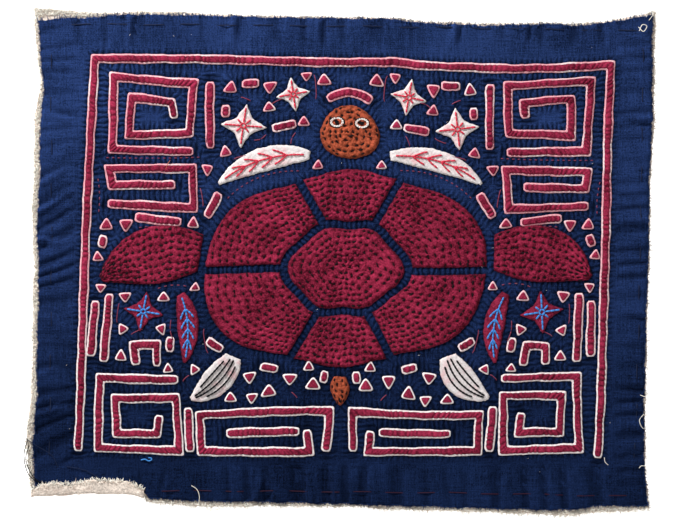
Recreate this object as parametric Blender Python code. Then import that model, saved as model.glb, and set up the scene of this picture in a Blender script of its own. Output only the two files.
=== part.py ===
"""Mola panel: cotton cloths laid over each other, cut, turned under and sewn down.

Lengths are in millimetres and become metres when a mesh is made. The panel
lies face up, with +X to its right, +Y to its top edge and +Z out of its face.
"""
import math

import bmesh
import bpy
import numpy as np

MM = 0.001

# Cloth thickness and the gap kept between pieces that touch
CLOTH = 1.0
GAP = 0.3
LAYER = CLOTH + GAP
BACKING_BASE = 0.0
GROUND_BASE = LAYER
PATCH_BASE = 2 * LAYER
BAND_BASE = 3 * LAYER

# Widths of the sewn strips and the distance between their turns
BAND_WIDTH = 4.3
EDGING_WIDTH = 6.1
BAND_CROWN = 0.35
TURN_PITCH = 12.0

# Greatest distance between the rings of a strip, and of the long frame band
PATH_STEP = 15.0
FRAME_STEP = 40.0

# How far the knife strays at the corners of a strip
STRAY_X, STRAY_Y = 1.4, 1.2

# Nominal half size of the cloth, on which the edge tables are read
HALF_WIDTH = 203.0
HALF_HEIGHT = 160.0

# Middle of the cloth's outline, which becomes the origin
CENTRE = (0.5, -0.87)

# Side edges: y, ground left, backing left, ground right, backing right
SIDE_EDGES = (
    (-160.0, -201.5, -203.5, 202.5, 203.5),
    (-138.0, -201.5, -205.5, 200.0, 201.0),
    (-127.0, -202.5, -207.0, 200.0, 200.8),
    (-95.0, -199.5, -203.5, 199.5, 200.5),
    (-64.0, -199.5, -202.5, 200.5, 201.5),
    (-32.0, -198.5, -202.5, 201.0, 201.8),
    (-6.0, -198.5, -201.5, 202.5, 203.3),
    (22.0, -199.5, -203.0, 203.0, 203.8),
    (54.0, -197.5, -201.5, 203.0, 204.0),
    (86.0, -197.5, -201.5, 205.0, 206.5),
    (112.0, -195.0, -197.0, 205.0, 206.5),
    (141.0, -197.5, -201.0, 205.0, 207.0),
    (160.0, -198.5, -201.0, 205.5, 207.5),
)

# Lower and upper edges: x, backing bottom, ground bottom, ground top, backing top
END_EDGES = (
    (-203.0, -154.0, -153.0, 158.0, 166.0),
    (-184.0, -152.9, -152.0, 159.5, 165.0),
    (-165.0, -151.9, -151.0, 160.0, 163.0),
    (-145.0, -151.9, -151.0, 162.0, 163.5),
    (-129.5, -153.9, -153.0, 161.5, 164.0),
    (-127.5, -158.5, -156.5, 161.5, 164.0),
    (-106.0, -161.0, -157.5, 161.3, 163.5),
    (-86.0, -162.0, -158.5, 161.0, 162.0),
    (-50.0, -161.5, -158.8, 160.0, 161.3),
    (13.0, -162.0, -160.5, 159.0, 160.0),
    (32.0, -164.0, -161.5, 159.0, 160.0),
    (46.0, -164.0, -161.5, 156.5, 157.8),
    (92.0, -165.5, -163.0, 154.5, 156.0),
    (131.0, -167.0, -164.0, 155.5, 156.5),
    (154.0, -168.0, -164.0, 154.5, 155.8),
    (166.0, -165.5, -161.5, 155.5, 157.0),
    (190.0, -165.0, -161.5, 159.5, 161.0),
    (203.0, -163.0, -161.5, 161.5, 164.0),
)

# Hem turned up over the front: x, height of its raw edge above the fold
HEM_END_X = -129.0
HEM_NOTCH = 1.5
HEM_RADIUS = 1.8
HEM_EDGE = (
    (-203.0, 6.5),
    (-190.0, 9.0),
    (-178.0, 7.0),
    (-165.0, 9.0),
    (-150.0, 9.0),
    (-138.0, 8.0),
    (-129.0, 4.5),
)

# The field inside the margins, where the layers are sewn flat
FIELD_LEFT, FIELD_RIGHT = -176.0, 181.0
FIELD_BOTTOM, FIELD_TOP = -134.0, 137.0

# Waves of the margins: distance over which they rise, height, lengths over 2 pi
MARGIN_RISE = 24.0
WAVE_HEIGHT = 0.9
SWELL_X, SWELL_Y = 21.0, 24.0

# Corner by the hem, which lies flat: right and upper limit, distance over which it fades
FLAT_X, FLAT_Y = -111.0, -128.0
FLAT_FADE = 12.0

# Spacing of the ground cloth's grid, and number of the backing's lines each way
GROUND_STEP_X, GROUND_STEP_Y = 24.0, 15.0
BACKING_LINES = 18

# Half width of the crease that the ground cloth's grid lines follow
CREASE_HALF = 4.0

# Main creases of the margins: inner x, inner y, outer x, outer y, height, half width
CREASES = (
    (-138.0, 138.0, -139.0, 162.0, 2.2, 4.0),
    (-70.5, 138.0, -70.0, 161.0, 1.7, 4.0),
    (-14.0, 138.0, -13.5, 160.0, 1.7, 4.0),
    (75.5, 138.0, 75.0, 156.0, 2.0, 4.0),
    (120.5, 138.0, 121.0, 156.0, 1.8, 4.0),
    (-47.0, -134.0, -57.0, -158.0, 1.8, 4.5),
    (19.5, -134.0, 17.0, -160.0, 1.8, 4.5),
    (-113.0, -134.0, -115.0, -157.0, 1.6, 4.0),
    (-177.0, 44.0, -198.0, 31.0, 2.4, 4.5),
    (-177.0, 12.0, -198.0, 13.0, 1.8, 4.0),
    (-177.0, -93.0, -198.0, -101.0, 2.2, 4.5),
    (183.0, 93.0, 204.0, 94.0, 1.8, 4.0),
    (183.0, 26.0, 202.0, 27.0, 2.2, 4.0),
    (183.0, -34.0, 201.0, -35.0, 1.8, 4.0),
    (183.0, -82.0, 199.0, -81.0, 2.0, 4.0),
)

# Centre line of the three-sided frame band, from its lower left end: x, y
FRAME_PATH = (
    (-172.7, -125.4),
    (-171.1, -91.8),
    (-169.8, -45.7),
    (-167.5, 20.1),
    (-164.2, 85.9),
    (-161.5, 132.9),
    (-92.4, 132.6),
    (-6.9, 130.3),
    (34.5, 130.6),
    (57.6, 128.0),
    (111.5, 126.1),
    (144.4, 126.7),
    (178.0, 128.6),
    (176.0, 85.9),
    (174.7, 20.1),
    (172.7, -45.7),
    (171.4, -91.8),
    (169.4, -130.0),
)

# Square spirals of the left half: name, left, bottom, width, height, legs, start corner, turn
SPIRALS = (
    ("spiral_top", -157.0, 71.0, 53.0, 46.0, 8, 1, -1),
    ("spiral_bottom", -158.0, -125.0, 51.0, 47.0, 8, 2, 1),
    ("key_bottom", -92.0, -125.0, 84.0, 24.0, 5, 1, 1),
    ("key_side", -157.0, 36.0, 54.0, 24.0, 5, 0, 1),
)

# Straight bars of the right half: name, x, y, length, lean in degrees
BARS = (
    ("bar_top", 92.0, 96.0, 46.0, 1.5),
    ("bar_side", 155.0, -46.0, 46.0, -1.0),
    ("bar_key", 51.0, -113.0, 48.0, 91.0),
)

# Arches of the right half: name, x, y, width, height; each leans and is lower on one side
ARCHES = (("arch_side", 128.0, -62.0, 14.0, 16.0),)
ARCH_LEAN = 1.0
ARCH_DROP = 3.0

# Leaf-shaped patches of the right half:
# name, cloth, root x, root y, tip x, tip y, width, bow, bluntness of the root
LEAVES = (
    ("front_flipper", "crimson", 97.0, 6.0, 161.0, -12.0, 38.0, 6.0, 0.20),
    ("hind_flipper", "white", 70.0, -62.0, 98.0, -90.0, 20.0, -4.0, 0.16),
    ("leaf_upper", "white", 27.0, 69.0, 86.0, 51.0, 15.0, 6.0, 0.10),
    ("leaf_side", "maroon", 107.0, -22.0, 102.0, -66.0, 14.0, -4.0, 0.10),
)
TAIL = ("tail", "orange", 0.0, -78.0, 0.0, -96.0, 13.0, 0.0, 0.18)
LEAF_RUNGS = 14
LEAF_ROWS = 5

# Four-pointed stars of the right half: name, cloth, x, y, radius, turn in degrees
STARS = (
    ("star_large", "white", 70.0, 88.0, 15.0, 6.0),
    ("star_small", "white", 38.0, 108.0, 12.0, -8.0),
    ("star_side", "maroon", 131.0, -34.0, 14.0, 8.0),
)
STAR_WAIST = 0.48
STAR_SHOULDER = 0.66

# The turtle's shell: centre, half sizes of the shell and of its middle plate
SHELL_X, SHELL_Y = 0.0, -6.0
SHELL_HALF = (96.0, 64.0)
CORE_HALF = (36.0, 26.0)
SHELL_LOBE = 0.03
CORE_LOBE = 0.05
PLATE_COUNT = 6
PLATE_GAP = 5.2
PLATE_RUNGS = 9
PLATE_ROWS = 11
CORE_POINTS = 28

# Head: centre, half width and half height, and how much narrower it is towards the nose
HEAD = (0.0, 84.0, 20.0, 17.0)
HEAD_TAPER = 0.14
HEAD_POINTS = 24

# Raised quilting between rows of stitches
QUILT_RISE = 0.3
PATCH_CROWN = 0.5

COLOURS = {
    "backing": (0.62, 0.55, 0.49),
    "navy": (0.012, 0.021, 0.075),
    "edging": (0.80, 0.48, 0.49),
    "maroon": (0.17, 0.012, 0.030),
    "crimson": (0.23, 0.010, 0.030),
    "orange": (0.42, 0.10, 0.035),
    "white": (0.80, 0.72, 0.70),
}
CLOTH_ROUGHNESS = 0.92


def sway(x, y):
    """Hand-cut unevenness: the design leans with the frame and waves by a millimetre."""
    lean = 3.3 + 0.038 * y
    wave_x = 1.1 * np.sin(y / 31 + 0.6) + 0.7 * np.sin(x / 17 + y / 23)
    wave_y = 0.9 * np.sin(x / 27 + 1.9) + 0.8 * np.sin(y / 15 - x / 29)
    droop = 0.010 * x * np.clip(y, 0, None) / 120
    return x + lean + wave_x, y + wave_y - droop


def column(table, key, at):
    """Value of one column of a table, read by straight lines between its rows."""
    rows = np.array([row[:1] + row[key:key + 1] for row in table])
    return np.interp(at, rows[:, 0], rows[:, 1])


def ramp(value):
    """Soft step: 0 below 0, 1 above 1, smooth between."""
    held = np.clip(value, 0, 1)
    return held * held * (3 - 2 * held)


def wave(x, y):
    """Long waves of the margins, which lift both cloths and leave the field flat."""
    left, right = FIELD_LEFT - x, x - FIELD_RIGHT
    low, high = FIELD_BOTTOM - y, y - FIELD_TOP
    outside = ramp(np.maximum.reduce([left, right, low, high]) / MARGIN_RISE)
    flat_corner = ramp((FLAT_X - x) / FLAT_FADE) * ramp((FLAT_Y - y) / FLAT_FADE)
    swell = 0.5 + 0.5 * np.sin(x / SWELL_X + 0.8) * np.cos(y / SWELL_Y - 0.4)
    return WAVE_HEIGHT * outside * (1 - flat_corner) * swell


def creases(x, y):
    """Soft ridges of the ground cloth, each rising from its inner to its outer end."""
    rise = np.zeros_like(x)
    for x0, y0, x1, y1, height, half in CREASES:
        run_x, run_y = x1 - x0, y1 - y0
        length = math.hypot(run_x, run_y)
        along = ((x - x0) * run_x + (y - y0) * run_y) / length ** 2
        across = ((x - x0) * run_y - (y - y0) * run_x) / length
        rise = rise + height * ramp(along) * np.clip(1 - np.abs(across) / half, 0, 1)
    return rise


def make_material(name):
    """Matt cloth of one colour."""
    material = bpy.data.materials.new(name)
    material.use_nodes = True
    shader = material.node_tree.nodes["Principled BSDF"]
    shader.inputs["Base Color"].default_value = (*COLOURS[name.split("_on_")[0]], 1)
    shader.inputs["Roughness"].default_value = CLOTH_ROUGHNESS
    shader.inputs["Metallic"].default_value = 0.0
    return material


def make_object(name, cloth, points, faces):
    """Object of one closed body from points in millimetres."""
    spots = (np.asarray(points) - (*CENTRE, 0.0)) * MM
    mesh = bpy.data.meshes.new(name)
    mesh.from_pydata(spots.tolist(), [], faces)
    shape = bmesh.new()
    shape.from_mesh(mesh)
    bmesh.ops.recalc_face_normals(shape, faces=shape.faces)
    shape.to_mesh(mesh)
    shape.free()
    mesh.shade_smooth()
    mesh.set_sharp_from_angle(angle=math.radians(40))
    mesh.materials.append(make_material(f"{cloth}_on_{name}"))
    piece = bpy.data.objects.new(name, mesh)
    bpy.context.collection.objects.link(piece)
    return piece


def layer_solid(name, cloth, under, over, quads):
    """Sheet between two like layers of points; a wall closes each open edge."""
    count = len(under)
    faces = [[i + count for i in quad] for quad in quads]
    faces += [list(reversed(quad)) for quad in quads]
    sides = {}
    for quad in quads:
        for a, b in zip(quad, quad[1:] + quad[:1]):
            if sides.pop((b, a), None) is None:
                sides[(a, b)] = True
    faces += [[a, b, b + count, a + count] for a, b in sides]
    return make_object(name, cloth, np.vstack([under, over]), faces)


def lines_between(half_size, spacing, marks):
    """Grid lines at an even spacing, with three lines over each crease."""
    even = np.linspace(-half_size, half_size, int(2 * half_size / spacing) + 1)
    marked = sorted(m + d for m in marks for d in (-CREASE_HALF, 0.0, CREASE_HALF))
    kept = [e for e in even if all(abs(e - m) > CREASE_HALF * 0.8 for m in marked)]
    return np.array(sorted(kept + marked))


def cloth_grid(side_keys, end_keys, xs, ys):
    """Grid over the cloth: x runs between the side edges and y between the ends."""
    across = (xs + HALF_WIDTH) / (2 * HALF_WIDTH)
    up = (ys + HALF_HEIGHT) / (2 * HALF_HEIGHT)
    left, right = (column(SIDE_EDGES, key, ys)[:, None] for key in side_keys)
    low, high = (column(END_EDGES, key, xs)[None, :] for key in end_keys)
    x = left + (right - left) * across[None, :]
    y = low + (high - low) * up[:, None]
    return x, y


def grid_quads(rows, columns, first=0):
    """Faces of a grid of points stored row by row."""
    index = np.arange(rows * columns).reshape(rows, columns) + first
    corners = (index[:-1, :-1], index[:-1, 1:], index[1:, 1:], index[1:, :-1])
    return np.stack(corners, -1).reshape(-1, 4).tolist()


def build_ground():
    """Navy ground cloth: flat field, creased margins, raw edges."""
    upright = [c for c in CREASES if abs(c[3] - c[1]) > abs(c[2] - c[0])]
    level = [c for c in CREASES if abs(c[3] - c[1]) < abs(c[2] - c[0])]
    xs = lines_between(HALF_WIDTH, GROUND_STEP_X, [(c[0] + c[2]) / 2 for c in upright])
    ys = lines_between(HALF_HEIGHT, GROUND_STEP_Y, [(c[1] + c[3]) / 2 for c in level])
    x, y = cloth_grid((1, 3), (2, 3), xs, ys)
    z = GROUND_BASE + wave(x, y) + creases(x, y)
    under = np.stack([x, y, z], -1).reshape(-1, 3)
    over = under + (0, 0, CLOTH)
    return layer_solid("ground", "navy", under, over, grid_quads(*x.shape))


def build_backing():
    """Undyed backing cloth with its lower left edge turned up over the front."""
    even = np.linspace(-HALF_WIDTH, HALF_WIDTH, BACKING_LINES)
    hem_x = np.array([row[0] for row in HEM_EDGE])
    beyond = even[even > HEM_END_X + 8]
    xs = np.array([*hem_x, HEM_END_X + HEM_NOTCH, *beyond])
    ys = np.linspace(-HALF_HEIGHT, HALF_HEIGHT, BACKING_LINES)
    x, y = cloth_grid((2, 4), (1, 4), xs, ys)
    z = BACKING_BASE + wave(x, y)
    under = np.stack([x, y, z], -1).reshape(-1, 3)
    over = under + (0, 0, CLOTH)
    quads = grid_quads(*x.shape)

    turned = len(hem_x)
    fold_x, fold_y = x[0, :turned], y[0, :turned]
    inner = HEM_RADIUS - CLOTH
    below, above = [], []
    for angle in np.radians((45, 90, 135, 180)):
        back, rise = math.sin(angle), 1 - math.cos(angle)
        below.append((fold_x, fold_y - HEM_RADIUS * back, fold_x * 0 + HEM_RADIUS * rise))
        above.append((fold_x, fold_y - inner * back, fold_x * 0 + CLOTH + inner * rise))
    flap = np.array([row[1] for row in HEM_EDGE])
    for share in (0.5, 1.0):
        far = fold_y - HEM_RADIUS + HEM_RADIUS * share + flap * share
        below.append((fold_x, far, fold_x * 0 + 2 * HEM_RADIUS))
        above.append((fold_x, far, fold_x * 0 + 2 * HEM_RADIUS - CLOTH))
    hem_under = np.array(below).transpose(0, 2, 1).reshape(-1, 3)
    hem_over = np.array(above).transpose(0, 2, 1).reshape(-1, 3)
    start = len(under)
    rows = np.vstack([np.arange(turned)[None], start + np.arange(len(hem_under)).reshape(-1, turned)])
    corners = (rows[1:, :-1], rows[1:, 1:], rows[:-1, 1:], rows[:-1, :-1])
    quads += np.stack(corners, -1).reshape(-1, 4).tolist()
    under = np.vstack([under, hem_under])
    over = np.vstack([over, hem_over])
    return layer_solid("backing", "backing", under, over, quads)


def fill_steps(corners, step):
    """Path through the corners with further points at about the given step."""
    corners = np.asarray(corners, float)
    parts = []
    for a, b in zip(corners[:-1], corners[1:]):
        count = max(1, round(math.dist(a, b) / step))
        share = np.arange(count)[:, None] / count
        parts.append(a + (b - a) * share)
    return np.vstack(parts + [corners[-1:]])


def mitred_sides(path, half):
    """The two sides of a strip, offset square to its path and mitred at the corners."""
    run = np.diff(path, axis=0)
    run /= np.linalg.norm(run, axis=1)[:, None]
    before = np.vstack([run[:1], run])
    after = np.vstack([run, run[-1:]])
    mean = before + after
    mean /= np.linalg.norm(mean, axis=1)[:, None]
    normal = np.stack([-mean[:, 1], mean[:, 0]], -1)
    reach = half / np.sum(mean * after, axis=1)
    return path + normal * reach[:, None], path - normal * reach[:, None]


def build_strip(name, cloth, path, width, base, crown=0.0):
    """Strip of cloth along a path: a box section, crowned along its middle if asked."""
    left, right = mitred_sides(path, width / 2)
    rings = [(right, base), (left, base), (left, base + CLOTH)]
    if crown:
        rings.append((path, base + CLOTH + crown))
    rings.append((right, base + CLOTH))
    sides = len(rings)
    points = np.stack([np.column_stack([xy, np.full(len(xy), z)]) for xy, z in rings], 1)
    faces = []
    for i in range(len(path) - 1):
        for k in range(sides):
            a, b = i * sides + k, i * sides + (k + 1) % sides
            faces.append([a, b, b + sides, a + sides])
    faces.append(list(range(sides)))
    faces.append(list(range(points.shape[0] * sides - 1, (points.shape[0] - 1) * sides - 1, -1)))
    return make_object(name, cloth, points.reshape(-1, 3), faces)


def build_edged_strip(name, path):
    """Edging strip with the narrower maroon band over it, cut short by the edging at its ends."""
    build_strip(f"{name}_edging", "edging", path, EDGING_WIDTH, PATCH_BASE)
    short = (EDGING_WIDTH - BAND_WIDTH) / 2
    inner = path.copy()
    inner[0] += (path[1] - path[0]) / math.dist(path[1], path[0]) * short
    inner[-1] += (path[-2] - path[-1]) / math.dist(path[-2], path[-1]) * short
    build_strip(f"{name}_band", "maroon", inner, BAND_WIDTH, BAND_BASE, BAND_CROWN)


def swayed(points):
    """Design points with the hand-cut unevenness added."""
    points = np.asarray(points, float)
    return np.stack(sway(points[:, 0], points[:, 1]), -1)


def mirrored(points):
    """The same points in the other half of the design."""
    return np.asarray(points, float) * (-1, 1)


def hand_cut(corners):
    """Path through corners that each stray a little, as when cut by eye."""
    x, y = np.asarray(corners, float).T
    turn = np.arange(len(x))
    stray_x = STRAY_X * np.sin(2.4 * turn + x / 19)
    stray_y = STRAY_Y * np.sin(1.9 * turn + y / 13 + 1)
    return swayed(fill_steps(np.stack([x + stray_x, y + stray_y], -1), PATH_STEP))


def spiral_corners(left, bottom, width, height, legs, start, turn):
    """Corners of a square spiral: a side that has been walked moves in by one pitch.

    Corners count from the lower left one, against the clock, and side k leaves corner k.
    """
    edge = [bottom, left + width, bottom + height, left]
    inward = (1, -1, -1, 1)

    def place(corner):
        """Where a corner lies now."""
        return edge[1] if corner in (1, 2) else edge[3], edge[2] if corner in (2, 3) else edge[0]

    points = [place(start)]
    for leg in range(legs):
        corner = (start + turn * leg) % 4
        side = corner if turn > 0 else (corner - 1) % 4
        points.append(place((corner + turn) % 4))
        edge[side] += inward[side] * TURN_PITCH
    return points


def build_spirals():
    """Square spirals and keys, each in both halves."""
    for name, left, bottom, width, height, legs, start, turn in SPIRALS:
        corners = spiral_corners(left, bottom, width, height, legs, start, turn)
        build_edged_strip(f"{name}_left", hand_cut(corners))
        build_edged_strip(f"{name}_right", hand_cut(mirrored(corners)))


def build_bars():
    """Straight bars and arches, each in both halves."""
    for name, x, y, length, lean in BARS:
        angle = math.radians(90 + lean)
        reach = np.array([math.cos(angle), math.sin(angle)]) * length / 2
        ends = [np.array([x, y]) - reach, np.array([x, y]) + reach]
        build_edged_strip(f"{name}_right", hand_cut(ends))
        build_edged_strip(f"{name}_left", hand_cut(mirrored(ends)))
    for name, x, y, width, height in ARCHES:
        left, right = x - width / 2, x + width / 2
        low, high = y - height / 2, y + height / 2
        corners = [(left, low), (left + ARCH_LEAN, high), (right + ARCH_LEAN, high - ARCH_DROP), (right, low)]
        build_edged_strip(f"{name}_right", hand_cut(corners))
        build_edged_strip(f"{name}_left", hand_cut(mirrored(corners)))


def build_grid_patch(name, cloth, x, y, rise):
    """Patch over a grid of points: a raised upper face and a flat lower one."""
    rows, columns = x.shape
    top = np.stack([x, y, PATCH_BASE + CLOTH + rise], -1).reshape(-1, 3)
    index = np.arange(rows * columns).reshape(rows, columns)
    rim = np.concatenate([index[0, :-1], index[:-1, -1], index[-1, :0:-1], index[:0:-1, 0]])
    foot = top[rim] * (1, 1, 0) + (0, 0, PATCH_BASE)
    first = len(top)
    faces = grid_quads(rows, columns)
    low = first + np.arange(len(rim))
    faces += [[rim[i - 1], low[i - 1], low[i], rim[i]] for i in range(len(rim))]
    faces.append(low[::-1].tolist())
    faces = [[int(i) for i in face] for face in faces]
    return make_object(name, cloth, np.vstack([top, foot]), faces)


def build_disc(name, cloth, centre, rim_x, rim_y, rings, ripple):
    """Round patch: rings of points drawn in from its rim to its centre, every second one raised."""
    count = len(rim_x)
    shares = 1 - np.arange(rings) / rings
    x = centre[0] + (rim_x - centre[0]) * shares[:, None]
    y = centre[1] + (rim_y - centre[1]) * shares[:, None]
    rise = (PATCH_CROWN * (1 - shares ** 2) + ripple * (np.arange(rings) % 2))[:, None] + x * 0
    top = np.stack([x, y, PATCH_BASE + CLOTH + rise], -1).reshape(-1, 3)
    peak = [[*centre, PATCH_BASE + CLOTH + PATCH_CROWN]]
    foot = top[:count] * (1, 1, 0) + (0, 0, PATCH_BASE)
    faces = []
    for ring in range(rings - 1):
        for k in range(count):
            a, b = ring * count + k, ring * count + (k + 1) % count
            faces.append([a, b, b + count, a + count])
    hub = rings * count
    last = hub - count
    faces += [[last + k, last + (k + 1) % count, hub] for k in range(count)]
    low = hub + 1
    faces += [[low + k, low + (k + 1) % count, (k + 1) % count, k] for k in range(count)]
    faces.append([low + k for k in reversed(range(count))])
    return make_object(name, cloth, np.vstack([top, peak, foot]), faces)


def leaf_grid(root_x, root_y, tip_x, tip_y, width, bow, blunt):
    """Leaf: rungs square to a bowed spine, their width a power of a sine along it."""
    share = np.linspace(0, 1, LEAF_RUNGS)
    run_x, run_y = tip_x - root_x, tip_y - root_y
    length = math.hypot(run_x, run_y)
    arch = bow * 4 * share * (1 - share) / length
    spine_x = root_x + run_x * share - run_y * arch
    spine_y = root_y + run_y * share + run_x * arch
    slope_x, slope_y = np.gradient(spine_x), np.gradient(spine_y)
    slope = np.hypot(slope_x, slope_y)
    half = width / 2 * np.sin(np.pi * (blunt + (0.98 - blunt) * share)) ** 0.8
    over = np.linspace(-1, 1, LEAF_ROWS)[None, :]
    x = spine_x[:, None] - (slope_y / slope * half)[:, None] * over
    y = spine_y[:, None] + (slope_x / slope * half)[:, None] * over
    return x, y, over


def build_leaves():
    """Flippers, leaves and tail."""
    for name, cloth, *sizes in LEAVES + (TAIL,):
        x, y, over = leaf_grid(*sizes)
        ripple = QUILT_RISE * (np.arange(x.shape[0]) % 2)[:, None]
        rise = (PATCH_CROWN + ripple) * (1 - over ** 2)
        if name == TAIL[0]:
            build_grid_patch(name, cloth, *sway(x, y), rise)
            continue
        build_grid_patch(f"{name}_right", cloth, *sway(x, y), rise)
        build_grid_patch(f"{name}_left", cloth, *sway(-x, y), rise)


def build_stars():
    """Four-pointed stars with a pinched waist between the points."""
    corner = np.arange(16)
    radius = np.choose(corner % 4, (1.0, STAR_SHOULDER, STAR_WAIST, STAR_SHOULDER))
    for name, cloth, x, y, size, turn in STARS:
        angle = math.radians(90 + turn) + corner * math.tau / 16
        star_x = x + size * radius * np.cos(angle)
        star_y = y + size * radius * np.sin(angle)
        for half, side in ((1, "right"), (-1, "left")):
            rim = sway(half * star_x, star_y)
            centre = sway(half * x, y)
            build_disc(f"{name}_{side}", cloth, centre, *rim, 2, 0.0)


def oval(angle, half, lobe, count=PLATE_COUNT, phase=0.0):
    """Radius of an ellipse with shallow lobes."""
    plain = 1 / np.hypot(np.cos(angle) / half[0], np.sin(angle) / half[1])
    return plain * (1 + lobe * np.cos(count * (angle - phase)))


def build_shell():
    """Middle plate and the ring of plates round it, a gap of ground between them."""
    angle = np.arange(CORE_POINTS) * math.tau / CORE_POINTS
    radius = oval(angle, CORE_HALF, CORE_LOBE)
    rim = sway(SHELL_X + radius * np.cos(angle), SHELL_Y + radius * np.sin(angle))
    build_disc("shell_middle", "crimson", sway(SHELL_X, SHELL_Y), *rim, 5, QUILT_RISE)
    span = math.tau / PLATE_COUNT
    share = np.linspace(0, 1, PLATE_RUNGS)[None, :]
    depth = np.linspace(0, 1, PLATE_ROWS)[:, None]
    for plate in range(PLATE_COUNT):
        angle = span * (plate + share)
        near = oval(angle, CORE_HALF, CORE_LOBE) + PLATE_GAP
        far = oval(angle, SHELL_HALF, SHELL_LOBE, phase=math.pi / 2)
        radius = near + (far - near) * depth
        inset = PLATE_GAP / 2 / radius
        turn = span * plate + inset + (span - 2 * inset) * share
        x, y = sway(SHELL_X + radius * np.cos(turn), SHELL_Y + radius * np.sin(turn))
        rise = QUILT_RISE * (np.arange(PLATE_ROWS) % 2)[:, None] + PATCH_CROWN * np.sin(math.pi * depth)
        build_grid_patch(f"shell_plate_{plate + 1}", "crimson", x, y, rise * np.sin(math.pi * share) ** 0.3)


def build_head():
    """Round head, a little narrower towards the nose."""
    x, y, half_x, half_y = HEAD
    angle = np.arange(HEAD_POINTS) * math.tau / HEAD_POINTS
    rim_x = x + half_x * np.cos(angle) * (1 - HEAD_TAPER * np.sin(angle))
    rim = sway(rim_x, y + half_y * np.sin(angle))
    build_disc("head", "orange", sway(x, y), *rim, 4, QUILT_RISE)


def build_frame():
    """Three-sided band that frames the field."""
    build_edged_strip("frame", fill_steps(FRAME_PATH, FRAME_STEP))


def main():
    """Clear the scene and build every piece."""
    for old in list(bpy.data.objects):
        bpy.data.objects.remove(old, do_unlink=True)
    build_backing()
    build_ground()
    build_frame()
    build_spirals()
    build_bars()
    build_shell()
    build_head()
    build_leaves()
    build_stars()


main()
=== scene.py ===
import math

import bpy
import numpy as np
from bpy.props import FloatProperty, FloatVectorProperty, PointerProperty
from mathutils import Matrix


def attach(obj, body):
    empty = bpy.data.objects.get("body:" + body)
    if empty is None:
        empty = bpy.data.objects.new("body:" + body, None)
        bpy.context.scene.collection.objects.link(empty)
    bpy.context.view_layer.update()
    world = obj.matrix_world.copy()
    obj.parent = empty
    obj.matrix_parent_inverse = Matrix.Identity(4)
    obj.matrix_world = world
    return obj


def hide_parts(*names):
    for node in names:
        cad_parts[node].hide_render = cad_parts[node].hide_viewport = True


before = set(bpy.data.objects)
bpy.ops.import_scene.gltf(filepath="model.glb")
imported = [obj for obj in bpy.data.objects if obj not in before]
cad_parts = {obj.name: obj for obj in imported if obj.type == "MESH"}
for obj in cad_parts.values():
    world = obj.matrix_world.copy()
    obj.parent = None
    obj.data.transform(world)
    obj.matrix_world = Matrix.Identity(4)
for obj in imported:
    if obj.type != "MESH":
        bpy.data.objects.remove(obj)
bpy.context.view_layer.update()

bl_info = {
    "name": "Mola panel",
    "version": (1, 0, 0),
    "blender": (4, 5, 0),
    "location": "3D View > Sidebar > Mola",
    "description": "Builds a sewn mola panel: cloths, bands, quilting, embroidery and frayed edges",
    "category": "Object",
}

# Drawing lengths are millimetres, +X right and +Y up on the laid panel
MM = 0.001

# The photograph's frame and the size of one of its pixels on the cloth
PHOTO_WIDTH, PHOTO_HEIGHT = 700, 525
PIXEL = 0.658
PANEL_MIDDLE_PX = (340.5, 260.5)
LENS_MM = 110.0
SENSOR_MM = 36.0

# Heights of the cloths' faces in the sewn field
BACKING_TOP = 1.0
GROUND_BASE = 1.35
GROUND_TOP = 2.2

# How much lower the ground lies: at its raw edge, under a sewn piece, and beside one,
# where the dip fades over a short reach
RIM_DROP = 0.18
HIDDEN_DROP = 0.3
EDGE_DIP, EDGE_REACH = 0.38, 1.3

# Where the rim of a sewn piece meets the ground, and where its hidden foot ends
PIECE_BASE = GROUND_TOP - 0.12
PIECE_FOOT = GROUND_TOP - 0.45

HALF_WIDTH = 203.0
HALF_HEIGHT = 160.0
CENTRE = (0.5, -0.87)

# Side edges: y, ground left, backing left, ground right, backing right
SIDE_EDGES = (
    (-160.0, -201.5, -203.5, 202.5, 203.5),
    (-138.0, -201.5, -205.5, 200.0, 201.0),
    (-127.0, -202.5, -207.0, 200.0, 200.8),
    (-95.0, -199.5, -203.5, 199.5, 200.5),
    (-64.0, -199.5, -202.5, 200.5, 201.5),
    (-32.0, -198.5, -202.5, 201.0, 201.8),
    (-6.0, -198.5, -201.5, 202.5, 203.3),
    (22.0, -199.5, -203.0, 203.0, 203.8),
    (54.0, -197.5, -201.5, 203.0, 204.0),
    (86.0, -197.5, -201.5, 205.0, 206.5),
    (112.0, -195.0, -197.0, 205.0, 206.5),
    (141.0, -197.5, -201.0, 205.0, 207.0),
    (160.0, -198.5, -201.0, 205.5, 207.5),
)

# Lower and upper edges: x, backing bottom, ground bottom, ground top, backing top
END_EDGES = (
    (-203.0, -154.0, -153.0, 158.0, 166.0),
    (-184.0, -152.9, -152.0, 159.5, 165.0),
    (-165.0, -151.9, -151.0, 160.0, 163.0),
    (-145.0, -151.9, -151.0, 162.0, 163.5),
    (-129.5, -153.9, -153.0, 161.5, 164.0),
    (-127.5, -158.5, -156.5, 161.5, 164.0),
    (-106.0, -161.0, -157.5, 161.3, 163.5),
    (-86.0, -162.0, -158.5, 161.0, 162.0),
    (-50.0, -161.5, -158.8, 160.0, 161.3),
    (13.0, -162.0, -160.5, 159.0, 160.0),
    (32.0, -164.0, -161.5, 159.0, 160.0),
    (46.0, -164.0, -161.5, 156.5, 157.8),
    (92.0, -165.5, -163.0, 154.5, 156.0),
    (131.0, -167.0, -164.0, 155.5, 156.5),
    (154.0, -168.0, -164.0, 154.5, 155.8),
    (166.0, -165.5, -161.5, 155.5, 157.0),
    (190.0, -165.0, -161.5, 159.5, 161.0),
    (203.0, -163.0, -161.5, 161.5, 164.0),
)

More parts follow.
